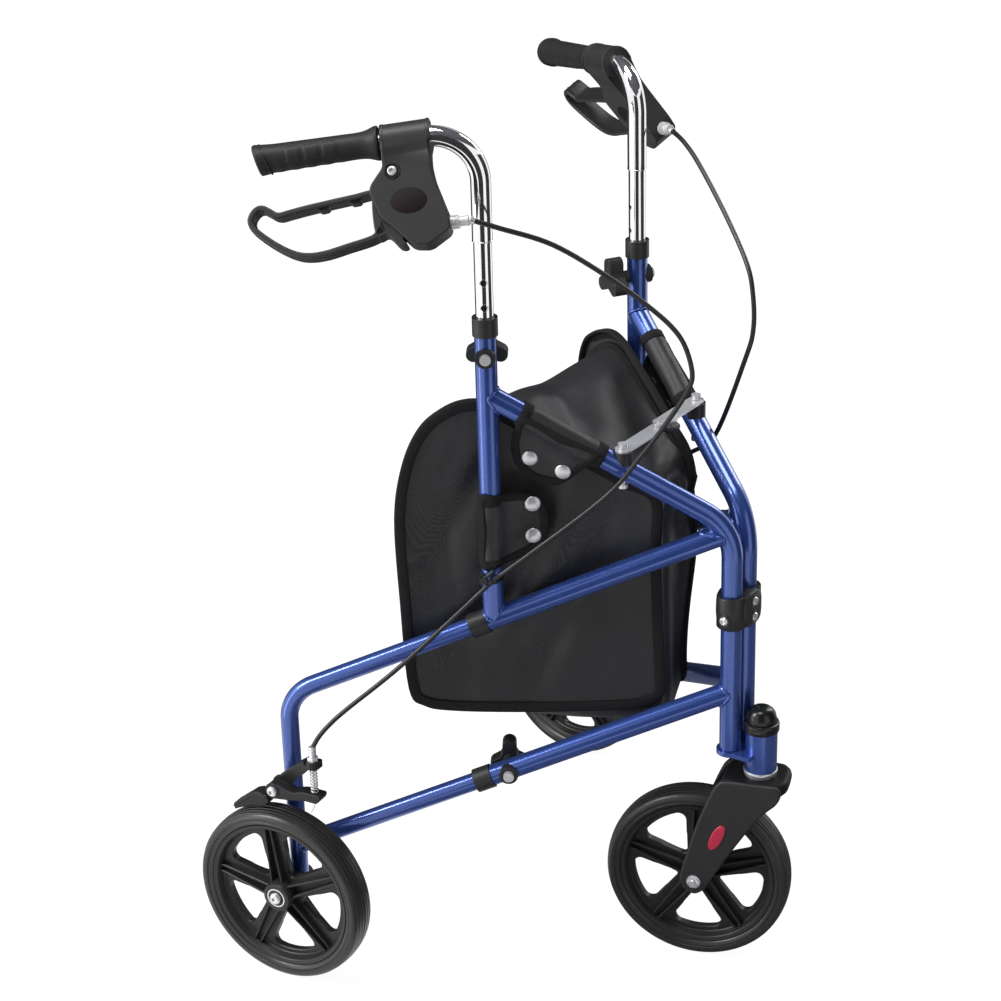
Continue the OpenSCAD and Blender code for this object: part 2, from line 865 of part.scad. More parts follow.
module brake_arm() {
    from = leg_r + bracket_w + arm_gap;
    tyre_r = wheel_d / 2 + shoe_gap;
    shoe_angles = [8, 14, 20, 26, 31];
    sole = [for (a = shoe_angles) [tyre_r * sin(a), axle_z + tyre_r * cos(a)]];
    tip = sole[len(sole) - 1];
    front = seat_h - seat_l / 2;
    color(black)
        at_leg()
            difference() {
                union() {
                    translate([pivot_h, pivot_z, -from - arm_w])
                        cylinder(h = arm_w, d = boss_d);
                    slab(concat(sole, [[tip.x + shoe_tip / 2, tip.y + shoe_tip],
                        [tip.x / 2, pivot_z], [pivot_h, pivot_z + boss_d / 2],
                        [pivot_h - boss_d / 2, pivot_z]]), -from - arm_w, -from);
                    slab([[pivot_h, pivot_z + boss_d / 2], [pivot_h, pivot_z - boss_d / 2],
                        [seat_h + seat_l / 2, tab_z - tab_t], [front + shoe_tip, tab_z - tab_t],
                        [front, tab_z], [seat_h + seat_l / 2, tab_z]], -from - arm_w, -from);
                }
                translate([pivot_h, pivot_z, -wheel_d])
                    cylinder(h = 2 * wheel_d, d = pivot_d + 2 * fit);
                upright_wire(tab_z - 2 * tab_t, tab_z + overrun, wire_d);
            }
}

// Return spring as one unbroken tube, its ends running straight up from their seats
spring_r = (spring_d - spring_wire_d) / 2;
spring_low = tab_z + clear;
spring_high = seat_z - clear;
spring_lead = spring_wire_d;
spring_pitch = (spring_high - spring_low - 2 * spring_lead) / spring_curls;
function spring_path() = concat(
    [[spring_r, spring_low, 0]],
    [for (k = [0:spring_curls * spring_rings]) let (a = 360 * k / spring_rings)
        [spring_r * cos(a), spring_low + spring_lead + spring_pitch * k / spring_rings, spring_r * sin(a)]],
    [[spring_r, spring_high, 0]]);
spring_gap = min([for (k = [spring_rings:spring_curls * spring_rings])
    norm(spring_path()[k + 1] - spring_path()[k + 1 - spring_rings])]) - spring_wire_d;
echo(spring_gap = spring_gap);

function spring_ring(p, k) =
    let (t = tangent(p, k), out = unit([p[k].x, 0, p[k].z]), a = unit(cross(t, out)), b = cross(a, t))
    [for (j = [0:spring_sides - 1])
        p[k] + spring_wire_d / 2 * (cos(360 * j / spring_sides) * a + sin(360 * j / spring_sides) * b)];

module brake_spring() {
    p = spring_path();
    color(bright)
        at_leg()
            translate([seat_h, 0, -wheel_a])
                polyhedron(
                    points = concat([for (k = [0:len(p) - 1]) each spring_ring(p, k)],
                        [p[0], p[len(p) - 1]]),
                    faces = tube_faces(len(p), spring_sides));
}

// Wheels, drawn about their own axle

tread_shares = [[0.62, 1], [0.34, 1], [0.3, 0.985], [0.24, 0.985], [0.2, 1], [-0.2, 1], [-0.24, 0.985],
    [-0.3, 0.985], [-0.34, 1], [-0.62, 1], [-0.9, 0.965], [-1, 0.92]];

module tyre() {
    wall = concat([[1, 0.92], [0.9, 0.965]], tread_shares);
    outline = [for (p = wall) [p.y * wheel_d / 2, p.x * tyre_w / 2]];
    color(black)
        rotate_extrude()
            polygon(concat([[tyre_seat_d / 2, tyre_w / 2 - (tyre_w - rim_w) / 2]], outline,
                [[tyre_seat_d / 2, -tyre_w / 2 + (tyre_w - rim_w) / 2]]));
}

spoke_t_share = 0.55;
channel_t_share = 0.25;
channel_share = 0.4;
channel_gap = 2;
spoke_gap = 0.4;
flange_lip = 1.5;
flange_rise = 0.6;

module rim() {
    seat = tyre_seat_d / 2;
    hoop = hoop_d / 2;
    spoke_t = rim_w * spoke_t_share;
    root = spoke_w / 2 / tan(180 / spoke_count) + spoke_gap;
    flange = sqrt(pow(root, 2) + pow(spoke_w / 2, 2)) + flange_lip;
    channel_t = spoke_t * channel_t_share;
    color(black)
        difference() {
            union() {
                difference() {
                    cylinder(h = rim_w, r = seat, center = true);
                    cylinder(h = rim_w + overrun, r = hoop, center = true);
                }
                cylinder(h = hub_l, d = hub_d, center = true);
                cylinder(h = spoke_t + 2 * flange_rise, r = flange, center = true);
                for (k = [0:spoke_count - 1])
                    rotate(90 + k * 360 / spoke_count)
                        difference() {
                            translate([root, -spoke_w / 2, -spoke_t / 2])
                                cube([(hoop + seat) / 2 - root, spoke_w, spoke_t]);
                            for (side = [-1, 1])
                                translate([flange + channel_gap, -spoke_w * channel_share / 2,
                                    side * spoke_t / 2 - channel_t])
                                    cube([hoop - flange - 2 * channel_gap, spoke_w * channel_share,
                                        2 * channel_t]);
                        }
            }
            cylinder(h = hub_l + overrun, r = axle_d / 2 + clear, center = true);
            for (side = [-1, 1])
                translate([0, 0, side * (hub_l - bearing_w + overrun) / 2])
                    cylinder(h = bearing_w + overrun, d = bearing_d, center = true);
        }
}

module bearings() {
    color(bright)
        for (side = [-1, 1])
            translate([0, 0, side * (hub_l / 2 - bearing_w / 2)])
                difference() {
                    cylinder(h = bearing_w, d = bearing_d, center = true);
                    cylinder(h = bearing_w + overrun, r = axle_d / 2 + fit, center = true);
                }
}

// Stay bars, each turning on its own side's bolt

module stay_link(z, rivet) {
    reach = hinge_half + stay_u * sin(splay_angle);
    translate([stay_u, z, 0])
        rotate([0, -splay_angle, 0])
            rotate([-90, 0, 0])
                difference() {
                    union() {
                        cylinder(h = stay_t, d = stay_w);
                        translate([-stay_w / 2, -reach, 0])
                            cube([stay_w, reach, stay_t]);
                        translate([0, -reach, 0])
                            cylinder(h = stay_t, d = stay_w);
                        if (rivet) {
                            translate([0, -reach, 0])
                                cylinder(h = 2 * stay_t, d = stay_rivet_d);
                            translate([-stay_w / 2 - stay_t, -reach, 0])
                                cube([stay_t, stay_w, stay_tab]);
                        }
                    }
                    translate([0, 0, -overrun])
                        cylinder(h = stay_t + 2 * overrun, d = bolt_d + 2 * fit);
                }
}

// Steering head, hinge and fork

module steering_head() {
    color(paint)
        translate([0, centre_y, 0])
            difference() {
                union() {
                    translate([0, stem_y, crown_z + washer_h])
                        cylinder(h = head_top_z - crown_z - washer_h, d = head_d);
                    for (side = [-1, 1])
                        translate([side * hinge_half, 0, plate_z - plate_t])
                            cylinder(h = plate_t, r = tube_r + washer_h);
                    translate([-hinge_half - tube_r, 0, plate_z - plate_t])
                        cube([2 * (hinge_half + tube_r), stem_y, plate_t]);
                    translate([-hinge_half, -tube_r - washer_h, plate_z - plate_t])
                        cube([2 * hinge_half, stem_y, plate_t]);
                    for (side = [-1, 1])
                        translate([side * hinge_half, 0, plate_z])
                            cylinder(h = leg_insert / 2, r = tube_in - fit);
                }
                translate([0, stem_y, crown_z])
                    cylinder(h = head_top_z, r = stem_d / 2 + fit);
            }
}

clamp_wall = 7;
plate_edge_r = 4;
screw_shares = [0.25, 0.75];

module hinge_clamp() {
    deep = tube_r + clamp_wall;
    lobe_r = tube_r + clamp_wall / 2;
    color(black)
        translate([0, centre_y, hinge_clamp_z])
            difference() {
                union() {
                    for (side = [-1, 1])
                        translate([side * hinge_half, 0, 0])
                            cylinder(h = hinge_clamp_h, r = lobe_r);
                    translate([-hinge_half, -deep + plate_edge_r, 0])
                        cube([2 * hinge_half, 2 * (deep - plate_edge_r), hinge_clamp_h]);
                    translate([plate_edge_r - hinge_half, -deep, 0])
                        cube([2 * (hinge_half - plate_edge_r), 2 * deep, hinge_clamp_h]);
                    for (side = [-1, 1], end = [-1, 1])
                        translate([side * (hinge_half - plate_edge_r), end * (deep - plate_edge_r), 0])
                            cylinder(h = hinge_clamp_h, r = plate_edge_r);
                }
                for (side = [-1, 1])
                    translate([side * hinge_half, 0, -overrun])
                        cylinder(h = hinge_clamp_h + 2 * overrun, r = tube_r + fit);
                for (share = screw_shares)
                    translate([0, -2 * deep, hinge_clamp_h * share])
                        rotate([-90, 0, 0])
                            cylinder(h = 4 * deep, d = bolt_d + 2 * snug);
            }
}

module clamp_screws() {
    deep = tube_r + clamp_wall;
    color(bright)
        translate([0, centre_y, hinge_clamp_z])
            for (share = screw_shares)
                translate([0, -deep, hinge_clamp_h * share])
                    rotate([-90, 0, 0])
                        union() {
                            cylinder(h = 2 * deep + bolt_head_h, d = bolt_d);
                            translate([0, 0, 2 * deep])
                                cylinder(h = bolt_head_h, d = bolt_head_d);
                        }
}

cap_flange_h = 11;
cap_wall = 2.5;
dome_shares = [[1, 0.62], [0.94, 0.78], [0.74, 0.92], [0.42, 0.98]];
hollow_shares = [[0.65, 0.9], [1, 0.7]];

module steering_cap() {
    dome_r = head_d / 2 - cap_wall / 2;
    color(black)
        translate([0, stem_y + centre_y, head_top_z])
            rotate_extrude()
                polygon([[dome_r - cap_wall, 0], [cap_d / 2, 0], [cap_d / 2, cap_flange_h],
                    [dome_r, cap_flange_h], for (s = dome_shares) [dome_r * s[0], cap_h * s[1]],
                    [0, cap_h], [0, cap_h - cap_wall],
                    for (s = hollow_shares) [(dome_r - cap_wall) * s[0], cap_h * s[1]]]);
}

stem_top = 18;

module fork_stem() {
    low = crown_z - crown_t;
    color(bright)
        at_stem() {
            translate([0, 0, low])
                union() {
                    cylinder(h = head_top_z + stem_top - low, d = stem_d);
                    translate([0, 0, crown_t])
                        cylinder(h = washer_h - clear, d = head_d);
                    translate([0, 0, head_top_z - low + clear])
                        cylinder(h = bolt_d, d = stem_d + bolt_d);
                }
        }
}

// Outline of a blade seen from the side: place along the trail and height over the axle, as shares
blade_shares = [[-0.5, 1], [0.46, 1], [0.47, 0.95], [0.1, 0.78], [-0.28, 0.48], [-0.58, 0.14],
    [-0.86, -0.1], [-1, -0.15], [-1.14, -0.12], [-1.25, 0], [-1.22, 0.1], [-1.12, 0.28], [-0.88, 0.68],
    [-0.65, 0.94]];

module fork() {
    size = [trail, crown_z - axle_z];
    half = fork_gap / 2 + blade_t;
    color(black)
        at_stem()
            difference() {
                union() {
                    for (side = [-1, 1])
                        translate([side * (half - blade_t / 2), 0, axle_z])
                            rotate([90, 0, 90])
                                translate([0, 0, -blade_t / 2])
                                    linear_extrude(height = blade_t)
                                        polygon(stretch(blade_shares, size));
                    translate([-half, blade_shares[0].x * trail, crown_z - crown_t])
                        cube([2 * half, (blade_shares[1].x - blade_shares[0].x) * trail, crown_t]);
                }
                translate([0, 0, crown_z - crown_t - overrun])
                    cylinder(h = crown_t + 2 * overrun, d = stem_d + 2 * snug);
                translate([-wheel_d, -trail, axle_z])
                    rotate([0, 90, 0])
                        cylinder(h = 2 * wheel_d, d = axle_d + 2 * snug);
            }
}

module front_axle() {
    half = fork_gap / 2 + blade_t;
    color(bright)
        at_front_wheel()
            union() {
                cylinder(h = 2 * half, d = axle_d, center = true);
                for (side = [-1, 1])
                    translate([0, 0, side * (half + bolt_head_h / 2)])
                        cylinder(h = bolt_head_h, d = axle_d + bolt_d, center = true);
            }
}

// Bag hanging between the side frames, open at the top of its rear end

bag_top_gap = 15;
bag_mouth = 60;
bag_corner = 55;
nip_share = 0.25;

module bag_wedge(inset) {
    front = hinge_half + bag_front_u * sin(splay_angle) - bag_side_gap / cos(splay_angle) - inset;
    rear = hinge_half + bag_rear_u * sin(splay_angle) - bag_side_gap / cos(splay_angle) - inset;
    near = -bag_front_u * cos(splay_angle) - inset;
    far = -bag_rear_u * cos(splay_angle) + inset;
    linear_extrude(height = post_top_z)
        polygon([[-front, near], [front, near], [rear, far], [-rear, far]]);
}

module bag_side(inset) {
    near = -bag_front_u * cos(splay_angle) - inset;
    far = -bag_rear_u * cos(splay_angle) + inset;
    corner = bag_corner * cos(splay_angle);
    low = bag_foot_z + inset;
    front_top = upper_at(bag_front_u) - bag_top_gap - inset;
    rear_top = upper_at(post_u) - bag_top_gap - inset;
    turn = -post_u * cos(splay_angle);
    rotate([90, 0, 90])
        translate([0, 0, -post_top_z])
            linear_extrude(height = 2 * post_top_z)
                polygon([[near, low], [near, front_top], [turn, rear_top],
                    [far + corner / 2, rear_top - corner * nip_share], [far, rear_top - 2 * corner],
                    [far, low + corner * nip_share], [far + corner * nip_share, low]]);
}

module bag() {
    far = -bag_rear_u * cos(splay_angle);
    top = upper_at(post_u) - bag_top_gap - 2 * bag_corner;
    color(black)
        translate([0, centre_y, 0])
            difference() {
                intersection() {
                    bag_wedge(0);
                    bag_side(0);
                }
                intersection() {
                    bag_wedge(bag_wall);
                    bag_side(bag_wall);
                }
                translate([-bag_front_u, far - overrun, top - bag_mouth])
                    cube([2 * bag_front_u, 2 * bag_wall + overrun, bag_mouth]);
            }
}

module right_collars() {
    tube_collars();
    color(black)
        stay_saddle(stay_z - clear);
}

module left_collars() {
    tube_collars();
    color(black)
        stay_saddle(stay_z + stay_t + stay_gap - clear);
}

left_stay_z = stay_z + stay_t + stay_gap;

steering_head();
hinge_clamp();
clamp_screws();
steering_cap();
fork();
fork_stem();
front_axle();
at_front_wheel() tyre();  // front_tyre
at_front_wheel() rim();  // front_rim
at_front_wheel() bearings();  // front_bearings
bag();
right_side() main_tube();  // right_main_tube
right_side() post_tube();  // right_post_tube
right_side() middle_tube();  // right_middle_tube
right_side() lower_tube();  // right_lower_tube
right_side() right_collars();  // right_tube_collars
right_side() frame_bolts(stay_z);  // right_frame_bolts
right_side() brake_cable(right_route);  // right_brake_cable
right_side() handle_tube();  // right_handle_tube
right_side() grip();  // right_grip
right_side() brake_housing();  // right_brake_housing
right_side() housing_fittings();  // right_housing_fittings
right_side() brake_lever();  // right_brake_lever
right_side() rear_leg();  // right_rear_leg
right_side() leg_brace();  // right_leg_brace
right_side() brake_bracket();  // right_brake_bracket
right_side() leg_fasteners();  // right_leg_fasteners
right_side() brake_spring();  // right_brake_spring
right_side() brake_arm();  // right_brake_arm
right_side() at_rear_wheel() tyre();  // right_tyre
right_side() at_rear_wheel() rim();  // right_rim
right_side() at_rear_wheel() bearings();  // right_bearings
right_side() handle_knob();  // right_handle_knob
right_side() leg_knob();  // right_leg_knob
right_side() color(bright) stay_link(stay_z, false);  // right_stay_link
left_side() main_tube();  // left_main_tube
left_side() post_tube();  // left_post_tube
left_side() middle_tube();  // left_middle_tube
left_side() lower_tube();  // left_lower_tube
left_side() left_collars();  // left_tube_collars
left_side() frame_bolts(left_stay_z);  // left_frame_bolts
left_side() brake_cable(left_route);  // left_brake_cable
left_side() handle_tube();  // left_handle_tube
left_side() grip();  // left_grip
left_side() brake_housing();  // left_brake_housing
left_side() housing_fittings();  // left_housing_fittings
left_side() brake_lever();  // left_brake_lever
left_side() rear_leg();  // left_rear_leg
left_side() leg_brace();  // left_leg_brace
left_side() brake_bracket();  // left_brake_bracket
left_side() leg_fasteners();  // left_leg_fasteners
left_side() brake_spring();  // left_brake_spring
left_side() brake_arm();  // left_brake_arm
left_side() at_rear_wheel() tyre();  // left_tyre
left_side() at_rear_wheel() rim();  // left_rim
left_side() at_rear_wheel() bearings();  // left_bearings
left_side() handle_knob();  // left_handle_knob
left_side() leg_knob();  // left_leg_knob
left_side() color(bright) stay_link(left_stay_z, true);  // left_stay_link
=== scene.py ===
"""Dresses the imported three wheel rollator: finishes, soft bag, brakes, wheels and a plain studio."""

from __future__ import annotations

import json
import logging
import math
from dataclasses import dataclass, field
from enum import Enum
from typing import Any, Iterable, Sequence

import bmesh
import bpy
from mathutils import Matrix, Vector, noise

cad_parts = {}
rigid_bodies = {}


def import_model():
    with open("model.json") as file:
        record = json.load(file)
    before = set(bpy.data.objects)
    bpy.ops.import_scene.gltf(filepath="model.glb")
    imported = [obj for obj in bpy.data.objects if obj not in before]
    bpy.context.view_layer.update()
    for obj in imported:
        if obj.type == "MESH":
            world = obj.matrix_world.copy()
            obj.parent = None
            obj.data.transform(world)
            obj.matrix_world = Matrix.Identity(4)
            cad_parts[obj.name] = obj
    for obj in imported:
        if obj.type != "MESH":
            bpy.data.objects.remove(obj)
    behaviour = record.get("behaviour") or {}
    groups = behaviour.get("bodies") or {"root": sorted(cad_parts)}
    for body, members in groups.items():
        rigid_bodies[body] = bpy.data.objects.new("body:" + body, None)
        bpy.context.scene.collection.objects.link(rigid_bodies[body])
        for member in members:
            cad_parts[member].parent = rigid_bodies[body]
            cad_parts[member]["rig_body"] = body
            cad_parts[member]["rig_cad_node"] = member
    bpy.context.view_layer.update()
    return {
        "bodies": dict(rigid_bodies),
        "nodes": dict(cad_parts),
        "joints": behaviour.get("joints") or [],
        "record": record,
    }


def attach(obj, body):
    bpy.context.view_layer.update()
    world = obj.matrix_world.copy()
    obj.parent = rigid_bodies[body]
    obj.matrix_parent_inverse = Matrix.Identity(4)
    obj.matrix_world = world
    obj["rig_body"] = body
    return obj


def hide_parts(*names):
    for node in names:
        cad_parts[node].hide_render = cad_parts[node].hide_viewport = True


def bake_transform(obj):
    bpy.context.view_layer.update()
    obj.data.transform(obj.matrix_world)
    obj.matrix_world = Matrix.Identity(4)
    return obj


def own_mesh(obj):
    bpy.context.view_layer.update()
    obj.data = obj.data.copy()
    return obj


LOG = logging.getLogger("rollator")
MM = 0.001
# Metres: points nearer than this are one point.
SAME_PLACE = 1e-6
# Degrees: faces of a solid that turn less than this are one face.
FLAT_ANGLE = 1.5
# Millimetres: radius of a profile's points on its axis.
AXIS_R = 0.01
WHITE = (1, 1, 1, 1)
SEEN_RAYS = ("Camera", "Glossy", "Transmission")
Point = Sequence[float]
Flat = tuple[float, float]


class Side(Enum):
    """The two side frames, by the sign of their X."""

    RIGHT = 1
    LEFT = -1

    @property
    def tag(self) -> str:
        """Start of the side's node and body names."""
        return self.name.lower()


@dataclass(frozen=True)
class Stance:
    """Sizes, in millimetres and degrees, that place every group of pieces."""

    splay: float = 32.0
    hinge_half: float = 15.0
    centre_y: float = 211.5615
    toe: float = 5.5
    caster: float = 17.5
    stem_y: float = 29.0
    trail: float = 65.0
    axle_z: float = 100.0
    leg_u: float = 461.0
    wheel_a: float = 29.5
    grip_u: float = 337.0
    grip_z: float = 910.5
    grip_angle: float = 7.5
    brake_tilt: float = 31.0
    knee_z: float = 508.5
    upper_angle: float = 31.0
    post_u: float = 243.5
    middle_z: float = 505.0
    lower_z: float = 322.5
    rail_angle: float = 21.5

    def side(self, side: Side) -> Matrix:
        """Matrix of a side frame.

        Args:
            side: the side frame.

        Returns:
            The matrix from place behind the upright, height and inward offset to the row's metres.
        """
        s = math.radians(self.splay)
        rows = ((math.sin(s), 0, -math.cos(s), self.hinge_half),
                (-math.cos(s), 0, -math.sin(s), self.centre_y), (0, 1, 0, 0), (0, 0, 0, 1))
        flip = Matrix.Diagonal((side.value, 1, 1, 1))
        return Matrix.Scale(MM, 4) @ flip @ Matrix(rows)

    def leg(self, side: Side) -> Matrix:
        """Matrix of the leg's own frame, turned so that its third axis is the axle."""
        turn = Matrix.Rotation(-math.radians(self.splay - self.toe), 4, "Y")
        return self.side(side) @ Matrix.Translation((self.leg_u, 0, 0)) @ turn

    def rear_wheel(self, side: Side) -> Matrix:
        """Matrix of a rear wheel, with its axle along the third axis."""
        return self.leg(side) @ Matrix.Translation((0, self.axle_z, -self.wheel_a))

    def brake(self, side: Side) -> Matrix:
        """Matrix of the hand brake: along the grip, down to the lever, and out through its side."""
        turn = Matrix.Rotation(math.radians(-self.grip_angle), 4, "Z")
        tilt = Matrix.Rotation(math.radians(180 + self.brake_tilt), 4, "X")
        return self.side(side) @ Matrix.Translation((self.grip_u, self.grip_z, 0)) @ turn @ tilt

    def stem(self) -> Matrix:
        """Matrix of the fork, with its stem on the third axis."""
        move = Matrix.Translation((0, self.stem_y + self.centre_y, 0))
        return Matrix.Scale(MM, 4) @ move @ Matrix.Rotation(math.radians(self.caster), 4, "Z")

    def front_wheel(self) -> Matrix:
        """Matrix of the front wheel, with its axle along the third axis."""
        turn = Matrix.Rotation(math.radians(-90), 4, "Y") @ Matrix.Rotation(math.radians(-90), 4, "Z")
        return self.stem() @ Matrix.Translation((0, -self.trail, self.axle_z)) @ turn

    def head(self) -> Matrix:
        """Matrix of the steering head, upright over its stem."""
        return Matrix.Scale(MM, 4) @ Matrix.Translation((0, self.stem_y + self.centre_y, 0))

    def upper_at(self, u: float) -> float:
        """Height of the upper tube's axis behind the upright."""
        return self.knee_z + u * math.tan(math.radians(self.upper_angle))

    def rail_at(self, z: float, u: float) -> float:
        """Height of a falling rail's axis behind the upright."""
        return z - u * math.tan(math.radians(self.rail_angle))


STANCE = Stance()


class Sock:
    """A shader value that takes part in Python sums."""

    def __init__(self, nodes: "Nodes", socket: bpy.types.NodeSocket) -> None:
        """Wraps an output socket of a set of nodes."""
        self.nodes = nodes
        self.socket = socket

    def _math(self, operation: str, first: Any, second: Any) -> "Sock":
        """Adds one Math node.

        Args:
            operation: the Math node's operation.
            first: its first value or link.
            second: its second value or link.

        Returns:
            The node's result.
        """
        made = self.nodes.node("ShaderNodeMath", {"operation": operation}, {0: first, 1: second})
        return self.nodes.out(made, 0)

    def __add__(self, other: Any) -> "Sock":
        """Sum."""
        return self._math("ADD", self, other)

    def __mul__(self, other: Any) -> "Sock":
        """Product."""
        return self._math("MULTIPLY", self, other)

    def sine(self) -> "Sock":
        """Sine of the value."""
        return self._math("SINE", self, 0.0)


class Nodes:
    """Nodes of one shader tree."""

    def __init__(self, tree: bpy.types.NodeTree) -> None:
        """Empties the tree."""
        self.tree = tree
        self.tree.nodes.clear()

    def node(self, kind: str, settings: dict[str, Any] | None = None,
             sockets: dict[Any, Any] | None = None) -> bpy.types.Node:
        """Adds a node.

        Args:
            kind: the node's type.
            settings: attributes that are set first.
            sockets: values or links of its inputs.

        Returns:
            The node.
        """
        made = self.tree.nodes.new(kind)
        for key, value in (settings or {}).items():
            setattr(made, key, value)
        for key, value in (sockets or {}).items():
            self.feed(made, key, value)
        return made

    def feed(self, node: bpy.types.Node, key: Any, value: Any) -> None:
        """Sets or links one input of a node.

        Args:
            node: the node.
            key: name or number of the input.
            value: its value, or the output that is linked to it.
        """
        if isinstance(value, Sock):
            self.tree.links.new(value.socket, node.inputs[key])
        else:
            node.inputs[key].default_value = value

    def out(self, node: bpy.types.Node, key: Any) -> Sock:
        """Output of a node, ready for sums."""
        return Sock(self, node.outputs[key])

    def glow(self, power: float) -> Sock:
        """White light of that strength."""
        return self.out(self.node("ShaderNodeEmission", {}, {"Color": WHITE, "Strength": power}), 0)


class Graph(Nodes):
    """Nodes of one material, around a Principled shader."""

    def __init__(self, name: str) -> None:
        """Starts an empty material of that name."""
        self.material = bpy.data.materials.new(name)
        self.material.use_nodes = True
        super().__init__(self.material.node_tree)
        self.shader = self.node("ShaderNodeBsdfPrincipled")
        self.output = self.node("ShaderNodeOutputMaterial", {}, {"Surface": self.out(self.shader, 0)})

    def look(self, **values: Any) -> None:
        """Sets or links inputs of the shader, named with low lines for spaces."""
        for name, value in values.items():
            self.feed(self.shader, name.replace("_", " "), value)

    def place(self) -> Sock:
        """Coordinates that stay with the piece."""
        return self.out(self.node("ShaderNodeTexCoord"), "Object")

    def noise(self, scale: float, detail: float, stretch: Point = (1, 1, 1)) -> Sock:
        """Cloudy value from 0 to 1.

        Args:
            scale: cells in a metre.
            detail: octaves.
            stretch: scale along each axis.

        Returns:
            The noise's value.
        """
        moved = self.node("ShaderNodeMapping", {}, {"Vector": self.place(), "Scale": tuple(stretch)})
        made = self.node("ShaderNodeTexNoise", {},
                         {"Vector": self.out(moved, 0), "Scale": scale, "Detail": detail})
        return self.out(made, 0)

    def weave(self, pitch: float) -> Sock:
        """Fine cross weave.

        Args:
            pitch: thread spacing in metres.

        Returns:
            Height of the weave.
        """
        parts = self.node("ShaderNodeSeparateXYZ", {}, {0: self.place()})
        k = 2 * math.pi / pitch
        across = (self.out(parts, 0) + self.out(parts, 1)) * k
        return across.sine() * (self.out(parts, 2) * k).sine()

    def blend(self, share: Sock, low: Point, high: Point) -> Sock:
        """Colour between two colours.

        Args:
            share: 0 for the first colour and 1 for the second.
            low: the first colour.
            high: the second colour.

        Returns:
            The colour.
        """
        made = self.node("ShaderNodeMix", {"data_type": "RGBA"},
                         {"Factor": share, 6: (*low, 1), 7: (*high, 1)})
        return self.out(made, 2)

    def bump(self, height: Sock, depth: float) -> None:
        """Feeds the shader's normal from a height of that depth in metres."""
        made = self.node("ShaderNodeBump", {}, {"Height": height, "Distance": depth})
        self.look(Normal=self.out(made, 0))


@dataclass(frozen=True)
class Finish:
    """A surface: its colour, its gloss and the grain that shows up close."""

    name: str
    slot: str
    dark: tuple[float, float, float]
    light: tuple[float, float, float]
    rough: tuple[float, float] = (0.4, 0.5)
    metallic: float = 0.0
    coat: float = 0.0
    coat_rough: float = 0.12
    specular: float = 0.5
    patch: float = 40.0
    grain: float = 900.0
    depth: float = 0.00004
    weave: float = 0.0
    crease: float = 0.0

    def build(self) -> bpy.types.Material:
        """Makes the material."""
        stain_share, gloss_share, weave_share = 0.7, 0.6, 0.8
        g = Graph(self.name)
        cloud, fine = g.noise(self.patch, 4.0), g.noise(self.grain, 2.0)
        low, high = self.rough
        span = high - low
        g.look(Base_Color=g.blend(cloud * stain_share + fine * (1 - stain_share), self.dark, self.light),
               Roughness=cloud * (span * gloss_share) + fine * (span * (1 - gloss_share)) + low,
               Metallic=self.metallic, Specular_IOR_Level=self.specular, Coat_Weight=self.coat,
               Coat_Roughness=self.coat_rough)
        height = fine + g.weave(self.weave) * weave_share if self.weave else fine
        if self.crease:
            height = height + g.noise(17, 2.0, (1, 1, 0.45)) * (self.crease / self.depth)
        g.bump(height, self.depth)
        return g.material


